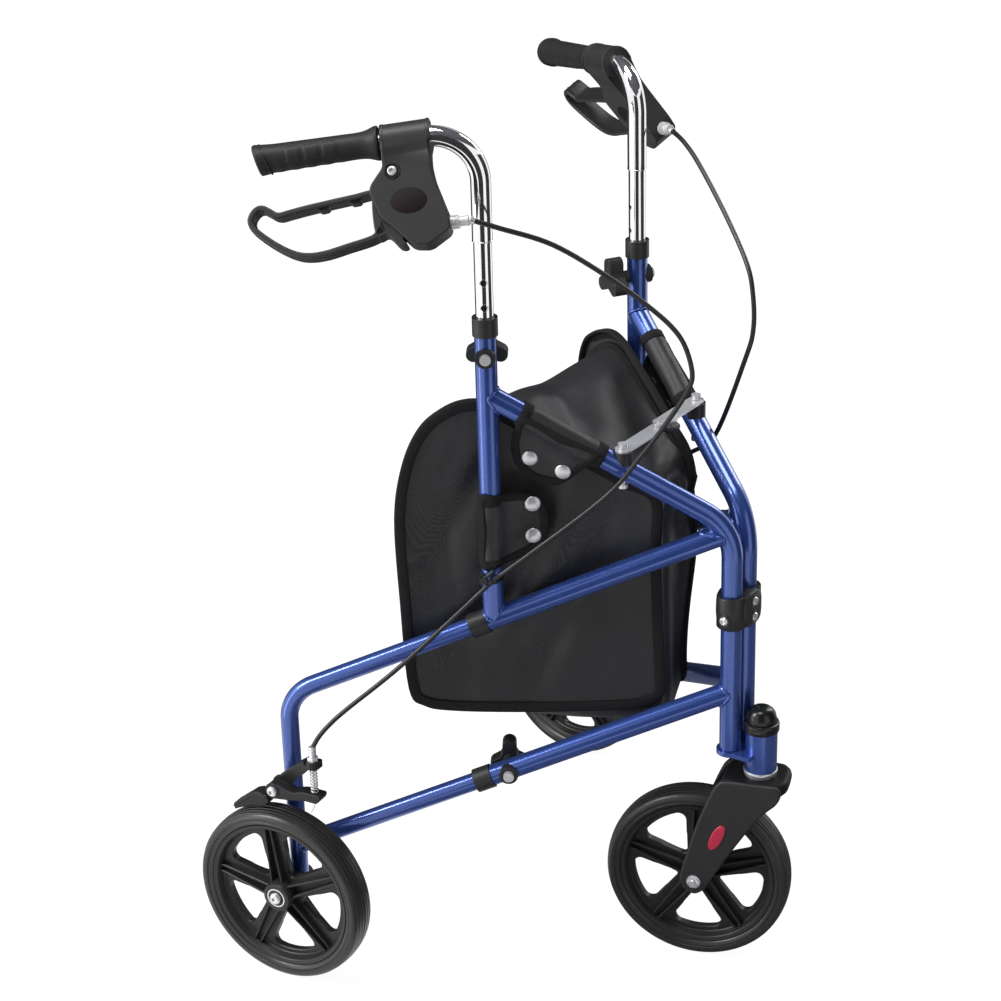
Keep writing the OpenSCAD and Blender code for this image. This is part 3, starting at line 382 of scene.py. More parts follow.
FINISHES: dict[str, Finish] = {f.name: f for f in (
    Finish("blue_enamel", "blue_paint", (0.036, 0.082, 0.33), (0.048, 0.102, 0.39), (0.24, 0.3), 0.55, 0.8,
           patch=14, grain=2600, depth=0.000012),
    Finish("bright_chrome", "chrome", (0.86, 0.87, 0.88), (0.9, 0.9, 0.91), (0.04, 0.08), 1.0,
           patch=20, grain=700, depth=0.000002),
    Finish("zinc_plate", "zinc", (0.7, 0.71, 0.72), (0.8, 0.8, 0.8), (0.22, 0.3), 0.7,
           patch=60, grain=1500, depth=0.000004),
    Finish("satin_silver", "zinc", (0.68, 0.69, 0.7), (0.76, 0.76, 0.77), (0.28, 0.36), 0.6,
           patch=24, grain=1800, depth=0.000004),
    Finish("pale_barrel", "zinc", (0.6, 0.6, 0.6), (0.7, 0.7, 0.7), (0.36, 0.44), 0.3,
           patch=50, grain=1400, depth=0.00001),
    Finish("moulded_black", "black_plastic", (0.018, 0.018, 0.0188), (0.025, 0.025, 0.026), (0.38, 0.48),
           specular=0.4, patch=60, grain=1800, depth=0.00003),
    Finish("wheel_black", "black_plastic", (0.017, 0.0158, 0.0152), (0.024, 0.0225, 0.022), (0.36, 0.46),
           specular=0.36, patch=60, grain=1500, depth=0.00004),
    Finish("bracket_black", "black_metal", (0.011, 0.011, 0.012), (0.016, 0.016, 0.017), (0.36, 0.48),
           specular=0.3, patch=70, grain=1100, depth=0.00003),
    Finish("grip_black", "grip_rubber", (0.012, 0.012, 0.0125), (0.018, 0.018, 0.0185), (0.44, 0.56),
           specular=0.3, patch=80, grain=1300, depth=0.00006),
    Finish("tyre_black", "tyre", (0.021, 0.019, 0.0186), (0.03, 0.0275, 0.027), (0.26, 0.38),
           specular=0.46, patch=50, grain=1200, depth=0.00006),
    Finish("cable_black", "cable_cover", (0.010, 0.010, 0.011), (0.015, 0.015, 0.016), (0.3, 0.4),
           patch=90, grain=1400, depth=0.00002),
    Finish("bag_vinyl", "bag_vinyl", (0.017, 0.017, 0.0182), (0.027, 0.027, 0.029), (0.32, 0.44),
           specular=0.45, patch=9, grain=800, depth=0.00009, weave=0.0016, crease=0.004),
    Finish("bag_binding", "bag_vinyl", (0.009, 0.009, 0.0095), (0.015, 0.015, 0.016), (0.66, 0.8),
           specular=0.2, patch=30, grain=1400, depth=0.00015, weave=0.0011),
    # Darker, less glossy black than the moulded black: the fork crown, and painted shade in the clamp screw's
    # well and in the height holes.
    Finish("crown_black", "black_plastic", (0.007, 0.007, 0.0075), (0.011, 0.011, 0.012), (0.42, 0.52),
           specular=0.16, patch=60, grain=1700, depth=0.00003),
    Finish("gloss_black", "black_plastic", (0.008, 0.008, 0.0085), (0.012, 0.012, 0.013), (0.2, 0.28),
           specular=0.42, patch=50, grain=1600, depth=0.00001),
    Finish("plate_dark", "black_plastic", (0.011, 0.008, 0.008), (0.014, 0.01, 0.01), (0.6, 0.7),
           specular=0.12, patch=40, grain=1500, depth=0.00002),
    Finish("marker_red", "black_plastic", (0.4, 0.006, 0.03), (0.56, 0.012, 0.06), (0.26, 0.34), coat=0.4,
           patch=160, grain=900, depth=0.00006),
)}


class Ends(Enum):
    """Which ends of a skin are closed."""

    NONE = 0
    LAST = 1
    BOTH = 2


def around(count: int) -> list[float]:
    """Angles that share a full turn evenly, in radians."""
    return [2 * math.pi * k / count for k in range(count)]


def polar(radius: float, degrees: float) -> Vector:
    """Flat point at a radius and an angle."""
    t = math.radians(degrees)
    return Vector((radius * math.cos(t), radius * math.sin(t)))


def held(value: float) -> float:
    """A value held between 0 and 1."""
    return max(0.0, min(1.0, value))


def ramp(value: float, span: Flat) -> float:
    """Share of the way from a span's first end to its last, held between 0 and 1."""
    return held((value - span[0]) / (span[1] - span[0]))


def mirrored(half: Sequence[Flat]) -> list[Flat]:
    """A profile of radius and height, with its mirror image below."""
    return [*half, *((r, -z) for r, z in reversed(half))]


class Shell:
    """Points and faces of a piece while it is being drawn, in the maker's own frame."""

    def __init__(self) -> None:
        """Starts with nothing drawn."""
        self.points: list[Vector] = []
        self.faces: list[tuple[int, ...]] = []

    def add(self, points: Iterable[Point], faces: Iterable[Sequence[int]]) -> "Shell":
        """Adds points and the faces between them.

        Args:
            points: the new points.
            faces: the new faces, as numbers of the new points.

        Returns:
            The shell.
        """
        base = len(self.points)
        self.points += [Vector(p) for p in points]
        self.faces += [tuple(base + k for k in f) for f in faces]
        return self

    def join(self, other: "Shell") -> "Shell":
        """Adds all that another shell has."""
        return self.add(other.points, other.faces)

    def moved(self, by: Point) -> "Shell":
        """Shifts all that is drawn so far."""
        self.points = [p + Vector(by) for p in self.points]
        return self

    def turned(self, matrix: Matrix) -> "Shell":
        """Turns all that is drawn so far."""
        self.points = [matrix @ p for p in self.points]
        return self

    def loft(self, rings: Sequence[Sequence[Point]], ends: Ends = Ends.BOTH, loop: bool = False) -> "Shell":
        """Skins rings that all have as many points.

        Args:
            rings: the rings, in order.
            ends: which ends are closed.
            loop: joins the last ring to the first, with no ends.

        Returns:
            The shell.
        """
        n = len(rings[0])
        points = [p for ring in rings for p in ring]
        faces: list[tuple[int, ...]] = []
        for k in range(len(rings) if loop else len(rings) - 1):
            a, b = k * n, ((k + 1) % len(rings)) * n
            faces += [(a + j, a + (j + 1) % n, b + (j + 1) % n, b + j) for j in range(n)]
        if ends is Ends.BOTH and not loop:
            faces.append(tuple(reversed(range(n))))
        if ends is not Ends.NONE and not loop:
            faces.append(tuple(range(len(points) - n, len(points))))
        return self.add(points, faces)

    def revolve(self, profile: Sequence[Flat], turns: int, closed: bool = True) -> "Shell":
        """Turns a profile about the third axis.

        Args:
            profile: radius and height of each point.
            turns: steps of the full turn.
            closed: joins the profile's last point to its first.

        Returns:
            The shell.
        """
        n = len(profile)
        points = [(r * math.cos(t), r * math.sin(t), z) for t in around(turns) for r, z in profile]
        faces: list[tuple[int, ...]] = []
        for k in range(turns):
            a, b = k * n, ((k + 1) % turns) * n
            faces += [(a + j, b + j, b + (j + 1) % n, a + (j + 1) % n) for j in range(n if closed else n - 1)]
        return self.add(points, faces)

    def tube(self, path: Sequence[Point], radius: float | Sequence[float], sides: int = 12,
             loop: bool = False, flat: float = 1.0, up: Vector | None = None) -> "Shell":
        """Sweeps a round or flattened bar along a path.

        Args:
            path: the centre line.
            radius: one radius, or one for each point.
            sides: points round the bar.
            loop: joins the ends.
            flat: thickness of the bar along its second direction, as a share.
            up: fixed first direction; found along the path when left out.

        Returns:
            The shell.
        """
        p = [Vector(q) for q in path]
        n = len(p)
        radii = [radius] * n if isinstance(radius, (int, float)) else list(radius)
        rings = []
        side = up
        for k in range(n):
            ahead = p[(k + 1) % n] if loop else p[min(k + 1, n - 1)]
            behind = p[k - 1] if loop else p[max(k - 1, 0)]
            t = (ahead - behind).normalized()
            side = up or side or t.orthogonal()
            side = (side - t * side.dot(t)).normalized()
            other = t.cross(side)
            rings.append([p[k] + radii[k] * (math.cos(a) * side + flat * math.sin(a) * other)
                          for a in around(sides)])
        return self.loft(rings, loop=loop)

    def prism(self, outline: Sequence[Flat], low: float, high: float) -> "Shell":
        """Pushes a flat outline from one height to another.

        Args:
            outline: the flat outline.
            low: the first height.
            high: the second height.

        Returns:
            The shell.
        """
        n = len(outline)
        points = [(x, y, z) for z in (low, high) for x, y in outline]
        faces: list[tuple[int, ...]] = [tuple(reversed(range(n))), tuple(range(n, 2 * n))]
        faces += [(j, (j + 1) % n, n + (j + 1) % n, n + j) for j in range(n)]
        return self.add(points, faces)

    def column(self, rows: Sequence[Flat], place: Flat, sides: int) -> "Shell":
        """Turned post along the second axis.

        Args:
            rows: height and radius of each ring.
            place: where it stands on the first and third axes.
            sides: points round it.

        Returns:
            The shell.
        """
        return self.loft([[(place[0] + r * math.cos(t), y, place[1] + r * math.sin(t)) for t in around(sides)]
                          for y, r in rows])

    def band(self, outer: Sequence[Flat], inner: Sequence[Flat], low: float, high: float) -> "Shell":
        """Closed loop of a bar between two outlines with as many points.

        Args:
            outer: the outer outline.
            inner: the inner outline.
            low: the bar's lower height.
            high: the bar's upper height.

        Returns:
            The shell.
        """
        rings = [[(*p, low), (*p, high), (*q, high), (*q, low)] for p, q in zip(outer, inner)]
        return self.loft(rings, loop=True)


def smooth(points: Sequence[Point], per: int, loop: bool) -> list[Vector]:
    """Runs a smooth line through points.

    Args:
        points: the points that the line passes.
        per: steps from one point to the next.
        loop: closes the line.

    Returns:
        The points of the line.
    """
    p = [Vector(q) for q in points]
    n = len(p)
    line = []
    for k in range(n if loop else n - 1):
        a, b, c, d = (p[(k + j) % n] if loop else p[min(max(k + j, 0), n - 1)] for j in (-1, 0, 1, 2))
        for j in range(per):
            t = j / per
            line.append(0.5 * (2 * b + (c - a) * t + (2 * a - 5 * b + 4 * c - d) * t * t
                               + (3 * b - a - 3 * c + d) * t * t * t))
    return line if loop else line + [p[-1]]


def flat_loop(points: Sequence[Flat], per: int) -> list[Flat]:
    """Smooth closed outline through flat points."""
    return [(q.x, q.y) for q in smooth([(x, y, 0.0) for x, y in points], per, True)]


def eased(points: Sequence[Flat], radius: float, steps: int = 5) -> list[Flat]:
    """Closed outline with straight sides and rounded corners.

    Args:
        points: the corners.
        radius: how far along each side a corner is rounded.
        steps: points of a rounded corner, less one.

    Returns:
        The points of the outline.
    """
    longest_share = 0.48
    line: list[Flat] = []
    n = len(points)
    for k in range(n):
        a, b, c = (Vector(points[(k + j) % n]) for j in (-1, 0, 1))
        p = b + (a - b).normalized() * min(radius, (a - b).length * longest_share)
        q = b + (c - b).normalized() * min(radius, (c - b).length * longest_share)
        for j in range(steps + 1):
            t = j / steps
            line.append(tuple(p * (1 - t) ** 2 + b * (2 * t * (1 - t)) + q * t * t))
    return line


def inset(loop: Sequence[Flat], depths: Sequence[float]) -> list[Flat]:
    """Moves a closed outline inward.

    Args:
        loop: the outline.
        depths: how far each of its points moves.

    Returns:
        The points of the new outline.
    """
    n = len(loop)
    turn = sum(loop[k - 1][0] * loop[k][1] - loop[k][0] * loop[k - 1][1] for k in range(n))
    made = []
    for k, depth in enumerate(depths):
        along = (Vector(loop[(k + 1) % n]) - Vector(loop[k - 1])).normalized()
        inward = Vector((-along.y, along.x)) * math.copysign(1, turn)
        made.append(tuple(Vector(loop[k]) + inward * depth))
    return made


def ring_of(count: int, half_x: float, half_y: float, power: float) -> list[Flat]:
    """Points of a rounded shape between an ellipse and a box.

    Args:
        count: number of points.
        half_x: its half width.
        half_y: its half height.
        power: 2 for an ellipse, and more for a shape nearer to a box.

    Returns:
        The points.
    """
    def bulge(share: float) -> float:
        """Pushes a place on a circle outward."""
        return math.copysign(abs(share) ** (2 / power), share)

    return [(half_x * bulge(math.cos(t)), half_y * bulge(math.sin(t))) for t in around(count)]


class Workshop:
    """Turns shells into dressed pieces and keeps one material of each finish."""

    def __init__(self, frame: dict[str, Any]) -> None:
        """Keeps the loaded frame and makes every finish."""
        self.frame = frame
        self.materials = {name: finish.build() for name, finish in FINISHES.items()}

    def settle(self, obj: bpy.types.Object) -> None:
        """Bakes an object's modifiers into its mesh.

        Args:
            obj: the object.
        """
        graph = bpy.context.evaluated_depsgraph_get()
        mesh = bpy.data.meshes.new_from_object(obj.evaluated_get(graph), depsgraph=graph)
        mesh.name = obj.name
        old = obj.data
        obj.modifiers.clear()
        obj.data = mesh
        bpy.data.meshes.remove(old)

    def make(self, name: str, shell: Shell, matrix: Matrix, finish: str, body: str | None,
             nodes: Sequence[str] = (), bevel: float = 0.0, cuts: int = 3, rounds: int = 0,
             sharp: float = 35.0) -> bpy.types.Object:
        """Makes a piece.

        Args:
            name: the piece's name.
            shell: its points and faces in its own frame.
            matrix: places them in the row.
            finish: name of its finish.
            body: body that it moves with, or None for a cord, which is then left with no body.
            nodes: solids that it stands for.
            bevel: width of its rounded edges, in metres.
            cuts: segments of a rounded edge.
            rounds: levels of subdivision.
            sharp: angle that still counts as an edge, in degrees.

        Returns:
            The piece's object.
        """
        mesh = bpy.data.meshes.new(name)
        mesh.from_pydata([matrix @ p for p in shell.points], [], shell.faces)
        made = bmesh.new()
        made.from_mesh(mesh)
        bmesh.ops.remove_doubles(made, verts=made.verts, dist=SAME_PLACE)
        bmesh.ops.recalc_face_normals(made, faces=made.faces)
        made.to_mesh(mesh)
        made.free()
        mesh.polygons.foreach_set("use_smooth", [True] * len(mesh.polygons))
        obj = bpy.data.objects.new(name, mesh)
        bpy.context.scene.collection.objects.link(obj)
        if bevel:
            soft = obj.modifiers.new("edges", "BEVEL")
            soft.width, soft.segments, soft.limit_method = bevel, cuts, "ANGLE"
            soft.angle_limit = math.radians(sharp)
            soft.harden_normals = True
        if rounds:
            sub = obj.modifiers.new("rounds", "SUBSURF")
            sub.levels = sub.render_levels = rounds
        if bevel or rounds:
            self.settle(obj)
        if not bevel:
            obj.data.set_sharp_from_angle(angle=math.radians(sharp))
        self.dress(obj, finish)
        if body:
            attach(obj, body)
        if nodes:
            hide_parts(*nodes)
        LOG.info("made %s", name)
        return obj

    def dress(self, obj: bpy.types.Object, finish: str) -> None:
        """Gives a piece its finish.

        Args:
            obj: the piece's object.
            finish: name of the finish.
        """
        obj.data.materials.clear()
        obj.data.materials.append(self.materials[finish])

    def paint(self, finish: str, *nodes: str) -> None:
        """Gives solids of the frame a finish and keeps their shape."""
        for node in nodes:
            self.dress(self.frame["nodes"][node], finish)

    def soften(self, node: str, finish: str, bevel: float, cuts: int = 2, sharp: float = 30.0) -> None:
        """Stands a copy with rounded edges in for a solid.

        Args:
            node: the solid.
            finish: name of its finish.
            bevel: width of the rounded edges, in metres.
            cuts: segments of a rounded edge.
            sharp: angle that still counts as an edge, in degrees.
        """
        source = self.frame["nodes"][node]
        made = bmesh.new()
        made.from_mesh(source.data)
        bmesh.ops.remove_doubles(made, verts=made.verts, dist=2 * SAME_PLACE)
        bmesh.ops.dissolve_limit(made, angle_limit=math.radians(FLAT_ANGLE), verts=made.verts,
                                 edges=made.edges)
        shell = Shell().add([v.co for v in made.verts], [[v.index for v in f.verts] for f in made.faces])
        made.free()
        self.make(node + "_soft", shell, Matrix.Identity(4), finish, source["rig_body"], [node], bevel, cuts,
                  sharp=sharp)


@dataclass
class Studio:
    """Camera of the photograph, a pale floor, soft lamps and cards; sizes in metres."""

    eye: tuple[float, float, float] = (1.95042, 1.05172 + STANCE.centre_y * MM, 1.49698)
    right: tuple[float, float, float] = (-0.55822444, 0.82928914, -0.02578757)
    up: tuple[float, float, float] = (-0.34389949, -0.20298219, 0.91680498)
    ahead: tuple[float, float, float] = (-0.755062, -0.52065128, -0.39850173)
    middle: tuple[float, float, float] = (0, 0, 0.45)
    lens: float = 85.89
    sensor: float = 36.0
    floor_half: float = 9.0
    floor_drop: float = 0.0005
    floor_shade: float = 0.82
    floor_glow: float = 1.16
    seen_share: float = 0.82
    matt: float = 0.9
    sky_power: float = 0.36
    ceiling_half: float = 4.0
    ceiling_z: float = 3.6
    card_z: float = 0.0003
    card_near: float = 0.66
    card_far: float = 1.25
    card_turn: float = 66.0
    card_shade: float = 0.16
    flag_shade: float = 0.02

    def camera(self) -> None:
        """Sets the camera where the photograph was taken."""
        data = bpy.data.cameras.new("photo_camera")
        data.lens, data.sensor_width = self.lens, self.sensor
        data.clip_start, data.clip_end = 0.05, 60.0
        obj = bpy.data.objects.new("photo_camera", data)
        bpy.context.scene.collection.objects.link(obj)
        columns = (Vector(self.right), Vector(self.up), -Vector(self.ahead))
        obj.matrix_world = Matrix.Translation(self.eye) @ Matrix(columns).transposed().to_4x4()
        bpy.context.scene.camera = obj

    def sheet(self, name: str, points: Sequence[Point], shade: Point) -> tuple[bpy.types.Object, Graph]:
        """Makes one flat matt face of the studio.

        Args:
            name: its name.
            points: its corners.
            shade: its colour.

        Returns:
            Its object and its material's nodes.
        """
        mesh = bpy.data.meshes.new(name)
        mesh.from_pydata([tuple(p) for p in points], [], [tuple(range(len(points)))])
        obj = bpy.data.objects.new(name, mesh)
        bpy.context.scene.collection.objects.link(obj)
        g = Graph(name)
        g.look(Base_Color=(*shade, 1), Roughness=self.matt)
        mesh.materials.append(g.material)
        return obj, g

    def floor(self) -> None:
        """Lays the floor, white to the camera but still taking a shadow."""
        half = self.floor_half
        corner = [(-half, -half, 0), (half, -half, 0), (half, half, 0), (-half, half, 0)]
        obj, g = self.sheet("studio_floor", corner, (self.floor_shade,) * 3)
        obj.location.z = -self.floor_drop
        g.material.name = "pale_floor"
        g.look(Specular_IOR_Level=0.1)
        path = g.node("ShaderNodeLightPath")
        camera, glossy, through = (g.out(path, f"Is {ray} Ray") for ray in SEEN_RAYS)
        seen = (camera + glossy + through) * self.seen_share
        mixed = g.node("ShaderNodeMixShader", {},
                       {0: seen, 1: g.out(g.shader, 0), 2: g.glow(self.floor_glow)})
        g.feed(g.output, "Surface", g.out(mixed, 0))

    def sky(self) -> None:
        """White behind the object, and a soft grey light all round."""
        world = bpy.data.worlds.new("studio")
        bpy.context.scene.world = world
        world.use_nodes = True
        g = Nodes(world.node_tree)
        path = g.node("ShaderNodeLightPath")
        camera, glossy, through = (g.out(path, f"Is {ray} Ray") for ray in SEEN_RAYS)
        soft = g.node("ShaderNodeBackground", {}, {0: (0.9, 0.93, 1.0, 1), 1: self.sky_power})
        white = g.node("ShaderNodeBackground", {}, {0: WHITE})
        mix = g.node("ShaderNodeMixShader", {},
                     {0: camera + (glossy + through), 1: g.out(soft, 0), 2: g.out(white, 0)})
        g.node("ShaderNodeOutputWorld", {}, {0: g.out(mix, 0)})

    def lamp(self, name: str, place: Point, size: Flat, power: float) -> None:
        """Hangs one soft box that points at the object.

        Args:
            name: its name.
            place: where it hangs.
            size: its width and height.
            power: its watts.
        """
        data = bpy.data.lights.new(name, "AREA")
        data.shape, data.size, data.size_y, data.energy = "RECTANGLE", size[0], size[1], power
        obj = bpy.data.objects.new(name, data)
        bpy.context.scene.collection.objects.link(obj)
        obj.location = place
        obj.rotation_mode = "QUATERNION"
        obj.rotation_quaternion = (Vector(self.middle) - Vector(place)).to_track_quat("-Z", "Y")

    def dark(self, name: str, points: Sequence[Point], shade: float) -> bpy.types.Object:
        """Makes one dark face that only reflections see.

        Args:
            name: its name.
            points: its corners.
            shade: how light it is.

        Returns:
            Its object.
        """
        obj, _ = self.sheet(name, points, (shade, shade, shade * 1.1))
        obj.visible_camera = obj.visible_diffuse = obj.visible_shadow = False
        return obj

    def flag(self, name: str, place: Point, size: Flat) -> bpy.types.Object:
        """Stands a dark card out of view, so that bright metal has something to show.

        Args:
            name: its name.
            place: its middle.
            size: its width and height.

        Returns:
            Its object.
        """
        x, z = size[0] / 2, size[1] / 2
        obj = self.dark(name, [(-x, 0, -z), (x, 0, -z), (x, 0, z), (-x, 0, z)], self.flag_shade)
        obj.location = place
        obj.rotation_euler = (0, 0, math.atan2(place[1], place[0]) + math.pi / 2)
        return obj

    def strip(self, name: str, place: Point, size: Flat, power: float) -> None:
        """Stands a bright upright card that only reflections see, for the streaks on round tubes.

        Args:
            name: its name.
            place: its middle.
            size: its width and height.
            power: strength of its light.
        """
        obj = self.flag(name, place, size)
        g = Graph(name + "_light")
        g.feed(g.output, "Surface", g.glow(power))
        obj.data.materials[0] = g.material

    def cards(self) -> None:
        """Lays two dark cards that only reflections see: one overhead and one round the wheels."""
        half = self.ceiling_half
        overhead = [(half, half), (-half, half), (-half, -half), (half, -half)]
        fan = [polar(self.card_near if a < self.card_turn else self.card_far, a) for a in range(-5, 286, 5)]
        for name, height, outline in (("ceiling_card", self.ceiling_z, overhead),
                                      ("floor_card", self.card_z, [(0.0, 0.0), *fan])):
            self.dark(name, [(*q, height) for q in outline], self.card_shade)

    def build(self) -> None:
        """Sets up the studio."""
        bpy.context.scene.view_settings.view_transform = "Standard"
        self.camera()
        self.floor()
        self.sky()
        self.lamp("key_box", (2.2, -1.9, 2.6), (0.7, 1.8), 96)
        self.lamp("top_box", (0.5, -0.2, 3.2), (1.2, 1.2), 44)
        self.lamp("edge_box", (-2.4, 0.6, 2.2), (0.5, 1.8), 22)
        self.flag("camera_flag", (1.07, 0.74, 0.7), (1.1, 1.8))
        self.flag("right_flag", (-0.5, 1.15, 0.6), (1.2, 1.6))
        self.flag("back_flag", (-1.0, -0.75, 0.7), (1.6, 1.8))
        self.cards()
        self.flag("left_flag", (-0.35, -1.5, 0.7), (1.3, 1.8))
        self.strip("low_strip", (0.86, -0.6, 0.42), (0.16, 0.84), 5.0)


@dataclass
class Group:
    """Pieces in one frame whose names all start with the same word."""

    shop: Workshop
    tag: str
    matrix: Matrix

    def name(self, words: str) -> str:
        """Name of a piece, solid or body of this group."""
        return f"{self.tag}_{words}"

    def put(self, words: str, shell: Shell, finish: str, body: str, solid: str = "",
            place: Matrix | None = None, **edges: Any) -> bpy.types.Object:
        """Makes a piece of this group.

        Args:
            words: the piece's name, after the group's word.
            shell: its points and faces.
            finish: name of its finish.
            body: body that it moves with, after the group's word; empty for a cord.
            solid: solid that it stands for, after the group's word.
            place: frame of its points, where that isn't the group's own.
            edges: how its edges are rounded, as Workshop.make takes it.

        Returns:
            The piece's object.
        """
        nodes = [self.name(solid)] if solid else []
        return self.shop.make(self.name(words), shell, place or self.matrix, finish,
                              self.name(body) if body else None, nodes, **edges)


@dataclass
class Wheel(Group):
    """A wheel with a ribbed tyre on a five-spoke rim; sizes in millimetres and degrees about its axle."""

    first: float = 81.0
    seat: float = 84.0
    spokes: int = 5
    foot: Flat = (29.6, 5.4)
    corner: Flat = (62.6, 8.6)
    corner_turn: float = 15.6
    flank_way: float = 126.0
    brow_way: float = 14.0
    brow_r: float = 71.2
    window_mid: float = 44.0
    flare_from: float = 46.0
    flare: float = 0.9
    plate_reach: Flat = (14.0, 77.4)
    plate_half: float = 4.2
    plate_edge: float = 0.8
    rib_start: float = 15.5
    rib_run: float = 61.5
    rib_high: Flat = (12.6, 3.2)
    rib_off: Flat = (5.2, 2.6)
    rib_wide: float = 2.3
    rib_edge: float = 0.6

    def tyre(self) -> None:
        """Moulds the tyre, with lines round its tread and sidewall."""
        half = [(self.seat, 13.2), (85.2, 14.6), (87, 15.6), (88.6, 16.2), (89.2, 15.7), (89.9, 15.7),
                (90.4, 16.6), (92, 17.0), (94.4, 16.7), (96.6, 15.6), (97.7, 14.3), (97.2, 13.8),
                (97.4, 13.1), (98.5, 12.7), (99.0, 10.2), (98.3, 9.8), (98.3, 9.0), (99.3, 8.6), (99.7, 5.6),
                (98.9, 5.2), (98.9, 4.4), (99.8, 4.0), (100, 1.4), (99.2, 1.0)]
        shell = Shell().revolve(mirrored(half), 160)
        self.put("tyre_dressed", shell, "tyre_black", "wheel", "tyre", sharp=42)

    def window(self) -> list[Flat]:
        """Draws the window between two spokes: a round foot, two flanks and two corners under the hoop.

        Returns:
            Radius, and angle in degrees from the window's middle, of each point.
        """
        (foot, foot_r), (corner, corner_r) = self.foot, self.corner
        out, brow = self.flank_way, self.brow_way
        line = [Vector((foot, 0)) + polar(foot_r, out + (360 - 2 * out) * k / 12) for k in range(13)]
        low, high = ([polar(corner, sign * self.corner_turn) + polar(corner_r, start + (out - brow) * k / 10)
                      for k in range(11)] for sign, start in ((-1, -out), (1, brow)))
        flank = [line[-1].lerp(low[0], k / 16) for k in range(1, 16)]
        top = [polar(self.brow_r, t) for t in range(-10, 11, 5)]
        line += flank + low + top + high + [Vector((q.x, -q.y)) for q in reversed(flank)]
        return [(q.length, math.degrees(math.atan2(q.y, q.x))) for q in line]

    def border(self, window: Sequence[Flat]) -> list[Flat]:
        """Finds where lines from a window's middle through its points leave the window's share of the plate.

        Args:
            window: radius and angle of the window's points.

        Returns:
            Radius and angle of the line's ends.
        """
        (low, high), half, step = self.plate_reach, math.radians(180 / self.spokes), 0.1
        ends = []
        for radius, angle in window:
            t = math.radians(angle)
            way = math.atan2(radius * math.sin(t), radius * math.cos(t) - self.window_mid)
            r, a, reach = self.window_mid, 0.0, 1.0
            while low <= r <= high and abs(a) <= half:
                x, y = self.window_mid + reach * math.cos(way), reach * math.sin(way)
                r, a = math.hypot(x, y), math.atan2(y, x)
                reach += step
            ends.append((r, math.degrees(a)))
        return ends

    def plate(self) -> Shell:
        """Floor of the spokes: a plate with a rounded window between each two.

        Returns:
            The plate's shell.
        """
        shell = Shell()
        window = self.window()
        border = self.border(window)
        half, flat = self.plate_half, self.plate_half - self.plate_edge
        levels = ((border, half, 0.0), (window, half, self.flare), (window, flat, 0.0), (window, -flat, 0.0),
                  (window, -half, self.flare), (border, -half, 0.0))
        for k in range(self.spokes):
            middle = self.first + (k + 0.5) * 360 / self.spokes
            shell.loft([[(*polar(r + math.copysign(grow, r - self.flare_from), middle + a), z)
                         for r, a in line] for line, z, grow in levels], Ends.NONE)
        return shell

    def rib(self, turn: float, sign: int) -> Shell:
        """One of a spoke's two ribs, lower and nearer to its twin towards the hoop.

        Args:
            turn: the spoke's angle.
            sign: side of the spoke.

        Returns:
            The rib's shell.
        """
        rings = []
        edge, steps = self.rib_edge, 20
        for k in range(steps + 1):
            t = k / steps
            high = self.rib_high[0] - self.rib_high[1] * t
            a = self.rib_off[0] - self.rib_off[1] * t
            b = a + self.rib_wide
            section = mirrored([(a, high - edge), (a + edge, high), (b - edge, high), (b, high - edge)])
            rings.append([(self.rib_start + self.rib_run * t, sign * y, z) for y, z in section])
        return Shell().loft(rings).turned(Matrix.Rotation(math.radians(turn), 3, "Z"))

    def rim(self) -> None:
        """Moulds hub, spokes with twin ribs, and the hoop under the tyre."""
        hoop = [(75.6, 4.2), (76.4, 4.6), (77.0, 5.6), (78.8, 11.6), (79.3, 12.7), (80.2, 13.2), (82.0, 13.4),
                (82.8, 13.9), (83.6, 13.9), (self.seat, 13.2)]
        hub = [(11.1, 19.0), (13.2, 19.0), (15.4, 18.4), (16.2, 17.2), (17.0, 10.0), (17.6, 4.2)]
        shell = Shell().revolve(mirrored(hoop), 160).revolve(mirrored(hub), 72).join(self.plate())
        for k in range(self.spokes):
            for sign in (-1, 1):
                shell.join(self.rib(self.first + 360 * k / self.spokes, sign))
        self.put("rim_dressed", shell, "wheel_black", "wheel", "rim", sharp=38)

    def bearing(self) -> None:
        """Sets a sealed bearing in each face of the hub: two steel races with a dark seal between."""
        outer = [(9.2, 18.2), (9.4, 19.0), (10.8, 19.0), (11.0, 18.6), (11.0, 12.2), (9.2, 12.2)]
        inner = [(4.15, 12.2), (4.15, 18.8), (4.4, 19.1), (5.9, 19.1), (6.1, 18.6), (6.1, 12.2)]
        seal = [(6.0, 18.2), (6.6, 18.5), (8.6, 18.5), (9.3, 18.1), (9.3, 12.4), (6.0, 12.4)]
        races, seals = Shell(), Shell()
        for sign in (-1, 1):
            for part, line in ((races, outer), (races, inner), (seals, seal)):
                part.revolve([(r, sign * z) for r, z in line], 64)
        self.put("races", races, "zinc_plate", "wheel", "bearings", sharp=30)
        self.put("seals", seals, "moulded_black", "wheel", sharp=30)

    def build(self) -> None:
        """Builds the wheel."""
        self.tyre()
        self.rim()
        self.bearing()


